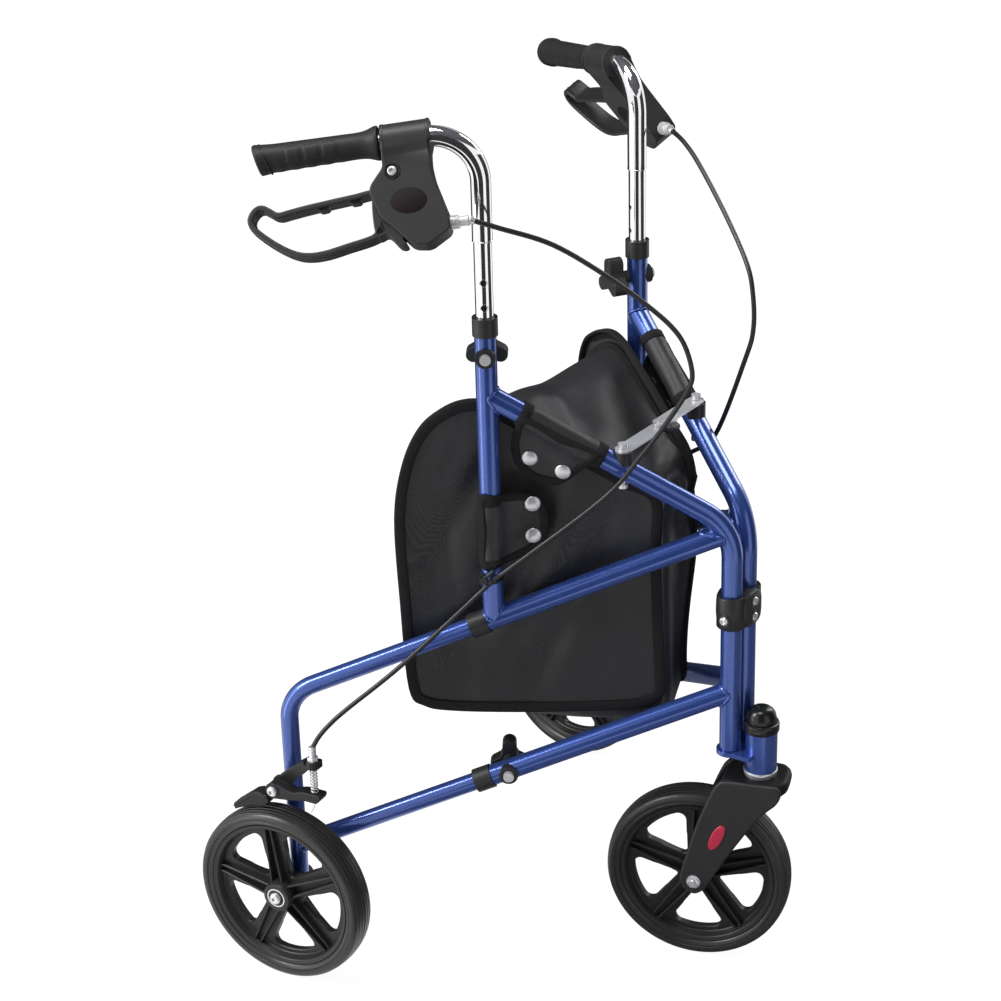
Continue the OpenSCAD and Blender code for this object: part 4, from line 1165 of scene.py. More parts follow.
@dataclass
class HandBrake(Group):
    """Grip, housing and loop lever of one side, in the brake's own frame; sizes in millimetres."""

    post: Matrix
    grip_oval: Flat = (0.98, 1.02)
    grip_long: float = 122.0
    finger_swell: float = 0.45
    finger_first: float = 52.0
    finger_pitch: float = 15.0
    finger_rows: Flat = (36.0, 108.0)
    slant: float = 2.7
    slant_from: float = 100.0
    lip: float = 1.6
    lip_from: float = 119.0
    pads: int = 3
    pad_r: float = 12.58
    pad_taper: float = 0.014
    pad_first: float = 47.0
    pad_pitch: float = 17.6
    pad_half: float = 8.0
    pad_turns: Flat = (80.0, 280.0)
    pad_sweep: float = 0.66
    pad_high: float = 0.8
    pad_sunk: float = 0.3
    seam_at: float = 111.0
    seam_r: float = 15.0
    seam_slant: float = 4.6
    seam_bead: float = 0.7
    housing_half: float = 14.0
    clamp_r: float = 16.8
    skirt: float = 30.0
    skirt_from: float = 9.0
    skirt_front: float = -45.4
    oval: Flat = (-22.0, 63.0)
    oval_long: Flat = (16.53, -4.2)
    oval_wide: Flat = (5.6, 11.6)
    screw: Flat = (-9.5, 32.8)
    barrel: Flat = (-57.5, 86.4)
    groove_pitch: float = 1.3
    lever_half: float = 11.0
    strip: float = 5.6
    strip_root: float = 6.0
    root_from: float = 14.0
    rib_off: float = 4.4
    rib_r: float = 0.5
    nub_half: float = 7.0
    hole_rows: Flat = (747.3, 772.7)
    hole_r: float = 3.9
    hole_depth: float = 8.64
    hole_bead: float = 0.42
    # Millimetres that the dark discs of painted hole shade stand out from the rims.
    well_lift: float = 0.4
    shoulder: Flat = (9.7, 813.4)
    shoulder_bead: float = 0.6

    def grip(self) -> None:
        """Moulds the grip: flared front, finger swells and a slanted closed end."""
        rows = [(0.5, 16.0), (1.2, 17.0), (3.4, 17.0), (5.4, 16.4), (8.4, 15.2), (13, 13.6), (19, 12.9),
                (26, 12.8)]
        rows += [(26 + 4 * k, 12.9 + 0.055 * k) for k in range(1, 20)]
        rows += [(105, 14.2), (110, 14.6), (115, 15.2), (118.4, 15.5), (120.4, 15.2), (121.6, 14.2),
                 (self.grip_long, 12.0)]
        rings = []
        for a, r in rows:
            wave = math.cos(2 * math.pi * (a - self.finger_first) / self.finger_pitch)
            swell = self.finger_swell * wave if self.finger_rows[0] < a < self.finger_rows[1] else 0.0
            slant = self.slant * max(0.0, (a - self.slant_from) / (self.grip_long - self.slant_from))
            back = a - (self.lip if a > self.lip_from else 0)
            ring = []
            for t in around(48):
                wide = r + swell * max(0.0, math.cos(t)) ** 2
                ring.append((back - slant * math.cos(t), wide * math.cos(t) * self.grip_oval[0],
                             wide * math.sin(t) * self.grip_oval[1]))
            rings.append(ring)
        self.put("grip_dressed", Shell().loft(rings), "grip_black", "handle", "grip", rounds=1, sharp=60)

    def pad(self, middle: float, turn: float) -> Shell:
        """Draws one raised pad of the grip, which sinks into it at its edges.

        Args:
            middle: place of its middle along the grip.
            turn: its angle round the grip, in degrees.

        Returns:
            The pad's shell.
        """
        n = 13
        steps = [2 * k / (n - 1) - 1 for k in range(n)]
        points = []
        for x in steps:
            a = middle + x * self.pad_half
            for y in steps:
                lift = self.pad_high * (1 - max(abs(x), abs(y)) ** 5) - self.pad_sunk
                r = self.pad_r + self.pad_taper * a + lift
                w = math.radians(turn) + y * self.pad_sweep
                points.append((a, r * math.cos(w), r * math.sin(w) * self.grip_oval[1]))
        return Shell().add(points, [(i * n + j, i * n + j + 1, (i + 1) * n + j + 1, (i + 1) * n + j)
                                    for i in range(n - 1) for j in range(n - 1)])

    def panels(self) -> None:
        """Lays the pads on the grip, and the seam before its end."""
        shell = Shell()
        for k in range(self.pads):
            for turn in self.pad_turns:
                shell.join(self.pad(self.pad_first + self.pad_pitch * k, turn))
        high, wide = (self.seam_r * share for share in self.grip_oval)
        seam = [(self.seam_at - self.seam_slant * math.cos(t), high * math.cos(t), wide * math.sin(t))
                for t in around(48)]
        shell.tube(seam, self.seam_bead, 8, loop=True)
        self.put("grip_panels", shell, "grip_black", "handle", sharp=80)

    def housing(self) -> None:
        """Moulds the housing's flared flat body and the clamp round the tube."""
        outline = eased([(-1.5, 8), (-47, 8), (-45.8, 28), (-47.6, 43), (-57.6, 80), (-58, 95), (-36, 107.6),
                         (-20, 105), (-7, 88.5), (6, 76), (14.8, 50), (12.8, 43), (-1, 27)], 5.0)
        body = Shell().prism(outline, -self.housing_half, self.housing_half)
        self.put("housing_dressed", body, "moulded_black", "handle", "brake_housing", bevel=0.0017, cuts=3,
                 sharp=50)
        half = self.housing_half + 0.05
        rings = []
        for a, grow in ((-49.0, -1.4), (-48.4, -0.2), (-47.4, 0.2), (-45.6, 0.2), (-45.2, -0.3), (-4.4, -0.3),
                        (-4.0, 0.2), (-2.0, 0.2), (-1.2, -0.6), (-0.9, -1.6)):
            r = self.clamp_r + grow
            top = [(-r * math.cos(t), r * math.sin(t)) for t in (math.pi * (k / 24 - 0.5) for k in range(25))]
            side = [(self.skirt * t, r + (half - r) * t ** 2 * (3 - 2 * t))
                    for t in (k / 10 for k in range(1, 11))]
            rings.append([(a if b < self.skirt_from else max(a, self.skirt_front), b, c)
                          for b, c in top + mirrored(side)])
        self.put("housing_clamp", Shell().loft(rings), "moulded_black", "handle", sharp=40)

    def trim(self) -> None:
        """Sets the plain oval on each face of the housing, the clamp screw in its well and the adjuster."""
        ovals = Shell()
        middle, long, wide = Vector(self.oval), Vector(self.oval_long), Vector(self.oval_wide)
        for sign in (1, -1):
            ovals.loft([[(*(middle + s * (math.cos(t) * long + math.sin(t) * wide)),
                          sign * (self.housing_half + h)) for t in around(48)]
                        for s, h in ((1.0, -0.2), (1.0, 0.2), (0.985, 0.35))])
        self.put("housing_oval", ovals, "plate_dark", "handle", sharp=40)
        # The well round the clamp screw takes a darker black than the housing: painted shade of the recess.
        well = [(7.6, 13.4), (7.9, 14.5), (7.2, 14.9), (6.4, 14.6), (5.9, 14.05), (AXIS_R, 14.02),
                (AXIS_R, 13.4)]
        self.put("screw_well", Shell().revolve(well, 48).moved((*self.screw, 0)), "crown_black", "handle",
                 sharp=40)
        head = [(4.6, 14.0), (4.6, 14.9), (4.1, 15.7), (2.9, 16.1), (2.4, 16.0), (2.2, 14.6), (AXIS_R, 14.6),
                (AXIS_R, 14.0)]
        self.put("clamp_screw_head", Shell().revolve(head, 40).moved((*self.screw, 0)), "zinc_plate",
                 "handle", sharp=30)
        rows = [(0, 6.2), (0.6, 6.9)]
        for k in range(5):
            rows += [(a + k * self.groove_pitch, r)
                     for a, r in ((1.2, 6.9), (1.5, 6.2), (2.0, 6.2), (2.3, 6.9))]
        rows += [(8.2, 6.0), (8.6, 4.6), (14.4, 4.6), (15.0, 5.2), (16.8, 5.2), (17.4, 4.4)]
        barrel = Shell().loft([[(self.barrel[0] - a, self.barrel[1] + r * math.cos(t), r * math.sin(t))
                                for t in around(40)] for a, r in rows])
        self.put("adjuster_barrel", barrel, "pale_barrel", "handle", "housing_fittings", sharp=30)

    def lever(self) -> None:
        """Moulds the loop lever with a fine rib along its strip and two nubs under its upper strip."""
        line = flat_loop([(8, 47.5), (30, 48.5), (55, 50.5), (78, 52.6), (94, 54.6), (103, 55.4), (110, 50.6),
                          (116.5, 46.6), (123.5, 47), (130, 52.4), (133, 60), (130.4, 68.6), (121.6, 78.4),
                          (108, 90), (94, 99), (80, 103.6), (62, 103.8), (40, 100), (18, 96), (6, 91),
                          (-4, 80), (-3, 62)], 5)
        half = self.lever_half
        walls = [self.strip + self.strip_root * held((self.root_from - a) / self.root_from) for a, _ in line]
        strap = Shell().band(line, inset(line, walls), -half, half)
        self.put("lever_dressed", strap, "moulded_black", "lever", "brake_lever", bevel=0.0018, cuts=3,
                 sharp=50)
        ribs = Shell()
        for c in (-self.rib_off, self.rib_off):
            ribs.tube([(*q, c) for q in line[8:92]], self.rib_r, 8)
        self.put("lever_rib", ribs, "moulded_black", "lever")
        nubs = Shell()
        for a, b in ((60, 56.2), (29, 53.6)):
            nub = eased([(a - 7, b - 2), (a + 7, b - 1.4), (a + 4, b + 3.4), (a - 4, b + 3)], 2.0)
            nubs.prism(nub, -self.nub_half, self.nub_half)
        self.put("lever_nubs", nubs, "moulded_black", "lever", bevel=0.001, cuts=2, sharp=50)
        root = flat_loop([(10, 47), (-6, 49), (-20, 58), (-25, 70), (-21, 83), (-13, 96), (-15.5, 104),
                          (-8, 104), (2, 92), (12, 93), (14, 70)], 4)
        self.put("lever_root", Shell().prism(root, -half, half), "moulded_black", "lever", bevel=0.0022,
                 cuts=2, sharp=50)

    def holes(self) -> None:
        """Rims of the height holes that show, with dark discs as painted shade inside, and the line where the
        handle tube narrows.
        """
        rims, wells = Shell(), Shell()
        for z in self.hole_rows:
            for sign in (-1, 1):
                loop = []
                for t in around(32):
                    x = self.hole_r * math.cos(t)
                    loop.append(Vector((STANCE.post_u + x, z + self.hole_r * math.sin(t),
                                        sign * math.sqrt(self.hole_depth ** 2 - x * x))))
                rims.tube(loop, self.hole_bead, 8, loop=True)
                # Dark discs just out from each hole's rim: painted shade of the hole's inside.
                wells.add([q + Vector((0, 0, sign * self.well_lift)) for q in loop], [range(len(loop))])
        r, z = self.shoulder
        shoulder = [(STANCE.post_u + r * math.cos(t), z, r * math.sin(t)) for t in around(64)]
        rims.tube(shoulder, self.shoulder_bead, 8, loop=True)
        self.put("hole_rims", rims, "bright_chrome", "handle", place=self.post, sharp=60)
        self.put("hole_wells", wells, "crown_black", "handle", place=self.post, sharp=60)

    def build(self) -> None:
        """Builds the hand brake."""
        self.grip()
        self.panels()
        self.housing()
        self.trim()
        self.lever()
        self.holes()
        self.shop.paint("bright_chrome", self.name("handle_tube"))


@dataclass
class SideFrame(Group):
    """Tubes, collars, cables and welds of one side; sizes in millimetres."""

    tube_r: float = 11.0
    leg_r: float = 9.5
    weld_lift: float = 0.15
    weld_r: float = 1.7
    weld_waves: Flat = (0.28, 0.15)
    cable_r: float = 2.5
    tie_u: float = 243.0
    tie_z: float = 459.5
    tie_r: float = 11.9
    tie_reach: float = 8.2
    lock: tuple[float, float, float] = (8.5, 461.0, -16.5)
    lock_half: Flat = (4.2, 3.4)
    lock_high: float = 5.2
    pull_place: tuple[float, float, float] = (-4.0, 118.3, 594.0)
    routes: dict[str, list[tuple[float, float, float]]] = field(default_factory=lambda: {
        "right": [(252, 847, -44.5), (226, 839, -45), (175, 821, -43), (123, 787, -39), (88, 759, -37),
                  (63, 735, -35), (50, 714, -33), (43, 686, -31), (47, 668, -29), (64, 638, -26),
                  (93, 596, -23), (133, 548, -21), (243, 459, -17), (335, 371, -24), (396, 324, -37),
                  (414, 309, -42), (425, 297, -45), (431.6, 286.4, -46.8)],
        "left": [(252, 847, -44.5), (226, 840, -46), (192, 824, -46), (131, 786, -44), (81, 749, -41),
                 (62, 722, -38), (53, 688, -34), (62, 653, -30), (108, 556, -22), (161, 516, -20),
                 (243, 459, -17), (335, 371, -24), (396, 324, -37), (414, 309, -42),
                 (425, 297, -45), (431.6, 286.4, -46.8)]})

    def weld(self, words: str, centre: Flat, along: Vector, onto: Vector, radius: float, body: str) -> None:
        """Lays a weld bead where one round tube meets another of its size.

        Args:
            words: the bead's name.
            centre: where the two axes cross.
            along: direction of the tube that ends there.
            onto: direction of the tube that it meets.
            radius: radius of the tubes.
            body: body that the bead moves with.
        """
        d, h = along.normalized(), onto.normalized()
        e1 = d.cross(h).normalized()
        e2 = d.cross(e1)
        path, radii = [], []
        for t in around(72):
            off = radius * (math.cos(t) * e1 + math.sin(t) * e2)
            q, v = off - h * off.dot(h), d - h * d.dot(h)
            a, b, c = v.dot(v), 2 * q.dot(v), q.dot(q) - (radius + self.weld_lift) ** 2
            s = (-b + math.sqrt(max(b * b - 4 * a * c, 0))) / (2 * a)
            path.append(Vector((*centre, 0)) + off + d * s)
            radii.append(self.weld_r + self.weld_waves[0] * math.sin(9 * t) ** 2
                         + self.weld_waves[1] * math.sin(23 * t))
        self.put(words, Shell().tube(path, radii, 10, loop=True), "blue_enamel", body, sharp=80)

    def welds(self) -> None:
        """Lays the beads of the front frame and the leg."""
        s, r = STANCE, self.tube_r
        up = Vector((0, 1, 0))
        rise = Vector((*-polar(1, s.upper_angle), 0))
        fall = Vector((*polar(1, -s.rail_angle), 0))
        knee = Vector((0.86, 0.5, 0))
        self.weld("upper_weld", (s.post_u, s.upper_at(s.post_u)), rise, up, r, "frame")
        self.weld("post_weld", (s.post_u, s.rail_at(s.middle_z, s.post_u)), up, fall, r, "frame")
        self.weld("lower_weld", (0, s.lower_z), fall, up, r, "frame")
        self.weld("leg_weld", (s.leg_u, s.rail_at(s.lower_z, s.leg_u)), -fall, up, self.leg_r, "leg")
        self.weld("middle_weld", (8.0, s.middle_z - 3.0), fall, knee, r, "frame")

    def cable(self) -> None:
        """Runs the brake cable in two lengths that meet at the tie on the post."""
        route = self.routes[self.tag]
        tie = next(k for k, p in enumerate(route) if p[0] == self.tie_u)
        for words, solid, points, held_end, free_end, body in (
                ("cable_upper", "brake_cable", route[:tie + 1], -1, 0, "handle"),
                ("cable_lower", "", route[tie:], 0, -1, "leg")):
            bar = Shell().tube(smooth(points, 8, False), self.cable_r, 14)
            obj = self.put(words, bar, "cable_black", "", solid, sharp=80)
            self.name("frame")
            self.name(body)
            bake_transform(obj)
        ferrule = Shell().tube(smooth(route, 8, False)[:3], [4.0, 3.9, 3.4], 16)
        self.put("cable_ferrule", ferrule, "zinc_plate", "handle", sharp=40)

    def tie(self) -> None:
        """Wraps the tie that holds the cable to the post."""
        u = STANCE.post_u
        loop = []
        for t in around(48):
            reach = self.tie_r + self.tie_reach * max(0.0, math.cos(t)) ** 6
            loop.append((u + reach * math.sin(t), self.tie_z + 1.5 * math.sin(t), -reach * math.cos(t)))
        shell = Shell().tube(loop, 2.6, 8, loop=True, flat=0.4, up=Vector((0, 1, 0)))
        lock, (x0, y0, z0) = ring_of(16, *self.lock_half, 4), self.lock
        shell.loft([[(u + x0 + x, y0 + y, z0 - h) for x, y in lock] for h in (0, self.lock_high)])
        tail = [(u + 8, 462, -18.5), (u + 4, 466, -20), (u - 2, 471, -20.5)]
        shell.tube(smooth(tail, 4, False), 1.9, 8, flat=0.45, up=Vector((0.4, 0.9, 0)))
        self.put("cable_tie", shell, "cable_black", "frame", sharp=50)

    def pull(self) -> None:
        """Finger pull at the middle of the stay."""
        matrix = Matrix.Scale(MM, 4) @ Matrix.Translation(self.pull_place)
        rows = ((4.0, 6.0, 4.2), (7.0, 9.0, 4.8), (12.0, 9.6, 4.4), (16.0, 8.4, 3.2), (17.6, 6.0, 1.8))
        shell = Shell().loft([[(x, y, z) for x, z in ring_of(28, wide, tall, 3.4)] for y, wide, tall in rows])
        self.shop.make("stay_pull", shell, matrix, "moulded_black", "left_stay", sharp=50)

    def build(self) -> None:
        """Dresses the side frame."""
        tubes = ("main_tube", "post_tube", "middle_tube", "lower_tube", "rear_leg", "leg_brace")
        self.shop.paint("blue_enamel", *map(self.name, tubes))
        self.shop.paint("satin_silver", self.name("frame_bolts"), self.name("stay_link"))
        self.shop.soften(self.name("tube_collars"), "moulded_black", 0.0009)
        for knob in ("handle_knob", "leg_knob"):
            self.shop.soften(self.name(knob), "moulded_black", 0.0018, 3)
        self.welds()
        self.cable()
        self.tie()
        if self.tag == Side.LEFT.tag:
            self.pull()


@dataclass
class RearBrake(Group):
    """Bracket, shoe arm, spring and bolts on one leg; sizes in millimetres from the leg's own axis."""

    pivot: Flat = (3.0, 224.0)
    rod: Flat = (-46.0, -29.5)
    tab_z: float = 232.0
    seat_z: float = 261.0
    seat_high: float = 9.0
    bar_start: tuple[float, float, float] = (2.0, 226.5, -12.7)
    bar_run: tuple[float, float, float] = (-42.0, 38.5, -15.6)
    bar_slope: Flat = (0.68, 0.74)
    bar_bend_shares: Flat = (0.1, 1.0)
    groove_pitch: float = 1.7
    nose_r: float = 7.5
    shoe_r: float = 103.6
    shoe_from: float = 8.0
    shoe_sweep: float = 23.0
    arm_faces: Flat = (-36.0, -21.2)
    coil_r: float = 3.5
    coil_wire: float = 0.72
    wire_r: float = 0.7
    coil_turns: float = 8.5
    coil_steps: int = 20
    coil_gap: float = 0.9

    def bracket(self) -> None:
        """Bends the bracket: boss at the pivot, slanted bar and a round-nosed seat for the cable."""
        u, w = self.rod
        start, run, slope = Vector(self.bar_start), Vector(self.bar_run), Vector((*self.bar_slope, 0))
        bar = []
        for t, high, half in ((0.0, 7.0, 7.6), (0.35, 6.6, 7.4), (0.8, 6.2, 7.2), (1.0, 5.0, 7.0)):
            bend = ramp(t, self.bar_bend_shares)
            middle = start + Vector((run.x * t, run.y * t, run.z * bend))
            bar.append([middle + slope * k + Vector((0, 0, j)) for k, j in
                        ((-high, -half), (high, -half), (high, half), (-high, half))])
        r = self.nose_r
        nose = [(u + x, w + y) for x, y in (polar(r, -9 * k) for k in range(21))]
        seat = nose + [(u - r, w + 7.2), (u + r, w + 7.2)]
        shell = Shell().loft(bar)
        shell.loft([[(h, z, d) for h, d in seat] for z in (self.seat_z, self.seat_z + self.seat_high)])
        boss = Shell().revolve([(AXIS_R, -20.4), (8.5, -20.4), (8.5, -4.9), (AXIS_R, -4.9)], 48)
        self.put("bracket_dressed", shell.join(boss.moved((*self.pivot, 0))), "bracket_black", "leg",
                 "brake_bracket", bevel=0.0012, cuts=3, sharp=40)
        ring = Shell().revolve([(8.3, -20.6), (9.9, -20.5), (10.3, -19.8), (10.3, -17.4), (9.9, -16.8),
                                (8.3, -16.8)], 48)
        self.put("bracket_ring", ring.moved((*self.pivot, 0)), "bracket_black", "leg", sharp=40)

    def arm(self) -> None:
        """Bends the arm: folded shoe over the tyre, boss, slim waist and the tab of the cable."""
        sole = [(self.shoe_r * math.sin(t), STANCE.axle_z + self.shoe_r * math.cos(t)) for t in
                (math.radians(self.shoe_from + self.shoe_sweep * k / 8) for k in range(9))]
        shoe = sole + [(56.0, 193.2), (54.4, 196.4), (30, 215.6), (23, 218.4), (12, 215.4), (9, 209)]
        flank = eased([(12, 219), (11.6, 229), (3, 233), (-6, 231.4), (-20, 227.4), (-33, 231.8),
                       (-56.3, 231.9), (-55.4, 226.6), (-51, 221.4), (-36, 221.6), (-20, 218), (-4, 215.6),
                       (6, 214.4)], 3.0)
        low, high = self.arm_faces
        shell = Shell().prism(shoe, low + 0.1, high).prism(flank, low, high)
        self.put("arm_dressed", shell, "bracket_black", "brake", "brake_arm", bevel=0.0011, cuts=3, sharp=40)
        fold = [(52, 195, -35.4), (29, 212.8, -35.8), (23, 215.4, -35.8), (14, 212.8, -35.8)]
        boss = Shell().revolve([(6.2, -35.6), (7.8, -36.4), (8.6, -36.4), (9.2, -35.6)], 48)
        trim = Shell().tube(fold, 0.9, 10).join(boss.moved((*self.pivot, 0)))
        self.put("arm_trim", trim, "bracket_black", "brake", sharp=40)

    def spring(self) -> None:
        """Winds the return spring between the tab and the seat, with a flat coil at each end."""
        u, w = self.rod
        low, high = self.tab_z + self.coil_gap, self.seat_z - self.coil_gap
        steps = int(self.coil_turns * self.coil_steps)
        flat_share = 0.06
        path = []
        for k in range(steps + 1):
            t = k / steps
            rise = held((t - flat_share) / (1 - 2 * flat_share))
            a = 2 * math.pi * self.coil_turns * t
            path.append((u + self.coil_r * math.cos(a), low + (high - low) * rise,
                         w + self.coil_r * math.sin(a)))
        wire = Shell().tube(path, self.coil_wire, 8)
        obj = self.put("spring_wound", wire, "zinc_plate", "leg", "brake_spring", sharp=60)
        self.name("brake_turn")
        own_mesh(obj)

    def rods(self) -> None:
        """Cable barrel with its hex nut on the seat, and the bare wire through the spring."""
        u, w = self.rod
        top = self.seat_z + self.seat_high
        nut = [(top, 6.0), (top + 3.6, 6.0), (top + 4, 5.4)]
        rows = [(top + 3.8, 4.0)]
        for k in range(5):
            z = top + 5 + self.groove_pitch * k
            rows += [(z, 4.0), (z + 0.4, 3.6), (z + 0.9, 3.6), (z + 1.3, 4.0)]
        rows += [(top + 15.4, 4.0), (top + 16, 3.4)]
        wire = [(u, top + 3, w), (u, 236, w), (u, 222, w), (u + 1.5, 214, w - 1), (u + 5, 207, w - 2)]
        barrel = Shell().column(nut, self.rod, 6).column(rows, self.rod, 40)
        barrel.tube(smooth(wire, 5, False), self.wire_r, 8)
        self.put("cable_barrel", barrel, "zinc_plate", "leg", sharp=30)

    def bolts(self) -> None:
        """Button-head pivot bolt, axle bolt and the black cap on the axle's inner end."""
        head = [(AXIS_R, -36.4), (5.9, -36.4), (6.0, -37.2), (5.5, -38.9), (4.2, -40.0), (2.9, -40.4),
                (2.6, -40.3), (2.5, -38.4), (AXIS_R, -38.4)]
        pin = [(AXIS_R, -36.4), (3.4, -36.4), (3.4, 10.0), (5.8, 10.0), (5.8, 13.2), (AXIS_R, 13.4)]
        axle = [(AXIS_R, -50.9), (2.7, -50.9), (2.8, -52.5), (3.6, -52.7), (5.2, -52.2), (6.3, -50.9),
                (6.5, -49.2), (4.0, -49.0), (4.0, 12.0), (AXIS_R, 12.0)]
        cap = [(AXIS_R, 4.0), (7.8, 4.0), (8.0, 12.6), (7.4, 14.4), (5.6, 15.5), (AXIS_R, 15.8)]
        hub = (0, STANCE.axle_z)
        shell = Shell()
        for profile, turns, place in ((head, 48, self.pivot), (pin, 32, self.pivot), (axle, 48, hub)):
            shell.join(Shell().revolve(profile, turns, closed=False).moved((*place, 0)))
        self.put("leg_bolts", shell, "zinc_plate", "leg", "leg_fasteners", sharp=30)
        cover = Shell().revolve(cap, 48, closed=False).moved((*hub, 0))
        self.put("axle_cap", cover, "moulded_black", "leg", sharp=40)

    def build(self) -> None:
        """Builds the rear brake."""
        self.bracket()
        self.arm()
        self.spring()
        self.rods()
        self.bolts()


@dataclass
class FrontEnd:
    """Steering head, cap, hinge clamp and fork; sizes in millimetres."""

    shop: Workshop
    blade_in: float = 20.0
    blade_out: float = 28.0
    marker: Flat = (-40.5, 158.0)
    marker_half: Flat = (17.0, 6.4)
    marker_turn: float = 66.0
    marker_sunk: float = 0.1
    clamp_z: float = 416.0
    plate_half: Flat = (17.4, 18.6)

    def fork(self) -> None:
        """Moulds the fork: two blades that flow out of a rounded crown."""
        outline = flat_loop([(-34, 226), (-10, 226.4), (14, 226.2), (22, 225), (25.6, 221), (25.6, 213),
                             (21, 204), (13, 196), (5, 187), (-3, 176), (-12, 162), (-26, 139), (-38, 118),
                             (-48, 100), (-54, 90), (-64, 83.5), (-74, 87), (-80.5, 97), (-79, 112),
                             (-73, 134), (-64, 166), (-55, 192), (-46, 214), (-41, 222)], 5)
        sideways = Matrix(((0, 0, 1), (1, 0, 0), (0, 1, 0)))
        blades = Shell().prism(outline, -self.blade_out, -self.blade_in)
        blades.prism(outline, self.blade_in, self.blade_out).turned(sideways)
        self.shop.make("fork_blades", blades, STANCE.stem(), "moulded_black", "caster", ["fork"], bevel=0.003,
                       cuts=4, sharp=50)
        levels = ((203, 25, -44, 12), (205, 26.4, -44, 18), (209, 27.4, -43, 25), (215, 27.8, -41, 31),
                  (221, 27.8, -38.6, 32), (224.8, 27.4, -37, 31), (226.4, 26.2, -35.4, 29),
                  (227, 24.4, -33, 26))
        crown = Shell().loft([[(half * x, (low + high) / 2 + (high - low) / 2 * y, z)
                               for x, y in ring_of(64, 1, 1, 3.6)] for z, half, low, high in levels])
        self.shop.make("fork_crown", crown, STANCE.stem(), "crown_black", "caster", sharp=50)

    def markers(self) -> None:
        """Sets a plain red oval on the outer face of each blade."""
        rows = ((1.0, 0.0), (0.99, 0.7), (0.93, 1.15), (0.8, 1.4), (0.4, 1.6), (0.02, 1.65))
        middle, (long, wide) = Vector(self.marker), self.marker_half
        along, across = polar(1, self.marker_turn), polar(1, self.marker_turn + 90)
        for side in Side:
            rings = [[(side.value * (self.blade_out - self.marker_sunk + h),
                       *(middle + s * (long * math.cos(t) * along + wide * math.sin(t) * across)))
                      for t in around(40)] for s, h in rows]
            self.shop.make(f"fork_marker_{side.tag}", Shell().loft(rings), STANCE.stem(), "marker_red",
                           "caster", sharp=50)

    def axle(self) -> None:
        """Turns the axle, with a washer, a hex nut and its thread's end on each side."""
        rod = [(AXIS_R, -34.0), (3.6, -34.0), (4.0, -33.4), (4.0, 33.4), (3.6, 34.0), (AXIS_R, 34.0)]
        washer = [(4.0, 28.05), (7.6, 28.05), (7.6, 29.1), (4.0, 29.2)]
        nut = [(AXIS_R, 29.1), (6.4, 29.1), (6.6, 29.6), (6.6, 32.0), (5.6, 32.7), (AXIS_R, 32.7)]
        shell = Shell().revolve(rod, 40, closed=False)
        for sign in (-1, 1):
            shell.revolve([(r, sign * z) for r, z in washer], 40)
            shell.revolve([(r, sign * z) for r, z in nut], 6, closed=False)
        self.shop.make("axle_dressed", shell, STANCE.front_wheel(), "zinc_plate", "caster", ["front_axle"],
                       sharp=25)

    def clamp(self) -> None:
        """Moulds the hinge clamp: a lobe round each upright, rounded plates and their screws."""
        matrix = Matrix.Scale(MM, 4) @ Matrix.Translation((0, STANCE.centre_y, self.clamp_z))
        lobe = [(11.4, -17.6), (14.8, -17.6), (15.6, -16.6), (15.6, 16.6), (14.8, 17.6), (11.4, 17.6)]
        rows = ((-18.0, 0.9), (-17.4, 0.97), (-16, 1.0), (16, 1.0), (17.4, 0.97), (18.0, 0.9))
        shell = Shell()
        for sign in (-1, 1):
            shell.join(Shell().revolve(lobe, 64).moved((sign * STANCE.hinge_half, 0, 0)))
        wide, tall = self.plate_half
        shell.loft([[(wide * k * x, y, tall * k * z) for x, z in ring_of(56, 1, 1, 3.4)] for y, k in rows])
        self.shop.make("clamp_dressed", shell, matrix, "moulded_black", "base", ["hinge_clamp"], sharp=50)
        head = [(AXIS_R, 0.0), (4.6, 0.0), (4.6, 1.8), (3.9, 3.0), (2.6, 3.5), (2.3, 3.4), (2.2, 2.0),
                (AXIS_R, 2.0)]
        well = [(4.8, 0.0), (6.6, 0.0), (6.8, 0.6), (6.2, 1.2), (4.9, 0.8)]
        heads, wells = Shell(), Shell()
        for axis, angle, place in (("X", -90, (0, 17.6, 8.8)), ("X", -90, (0, 17.6, -8.8)),
                                   ("Y", 90, (30.2, 0, -6)), ("Y", -90, (-30.2, 0, -6))):
            turn = Matrix.Rotation(math.radians(angle), 4, axis)
            heads.join(Shell().revolve(head, 36, closed=False).turned(turn).moved(place))
            wells.join(Shell().revolve(well, 36).turned(turn).moved(place))
        self.shop.make("clamp_heads", heads, matrix, "zinc_plate", "base", ["clamp_screws"], sharp=30)
        self.shop.make("clamp_wells", wells, matrix, "moulded_black", "base", sharp=30)

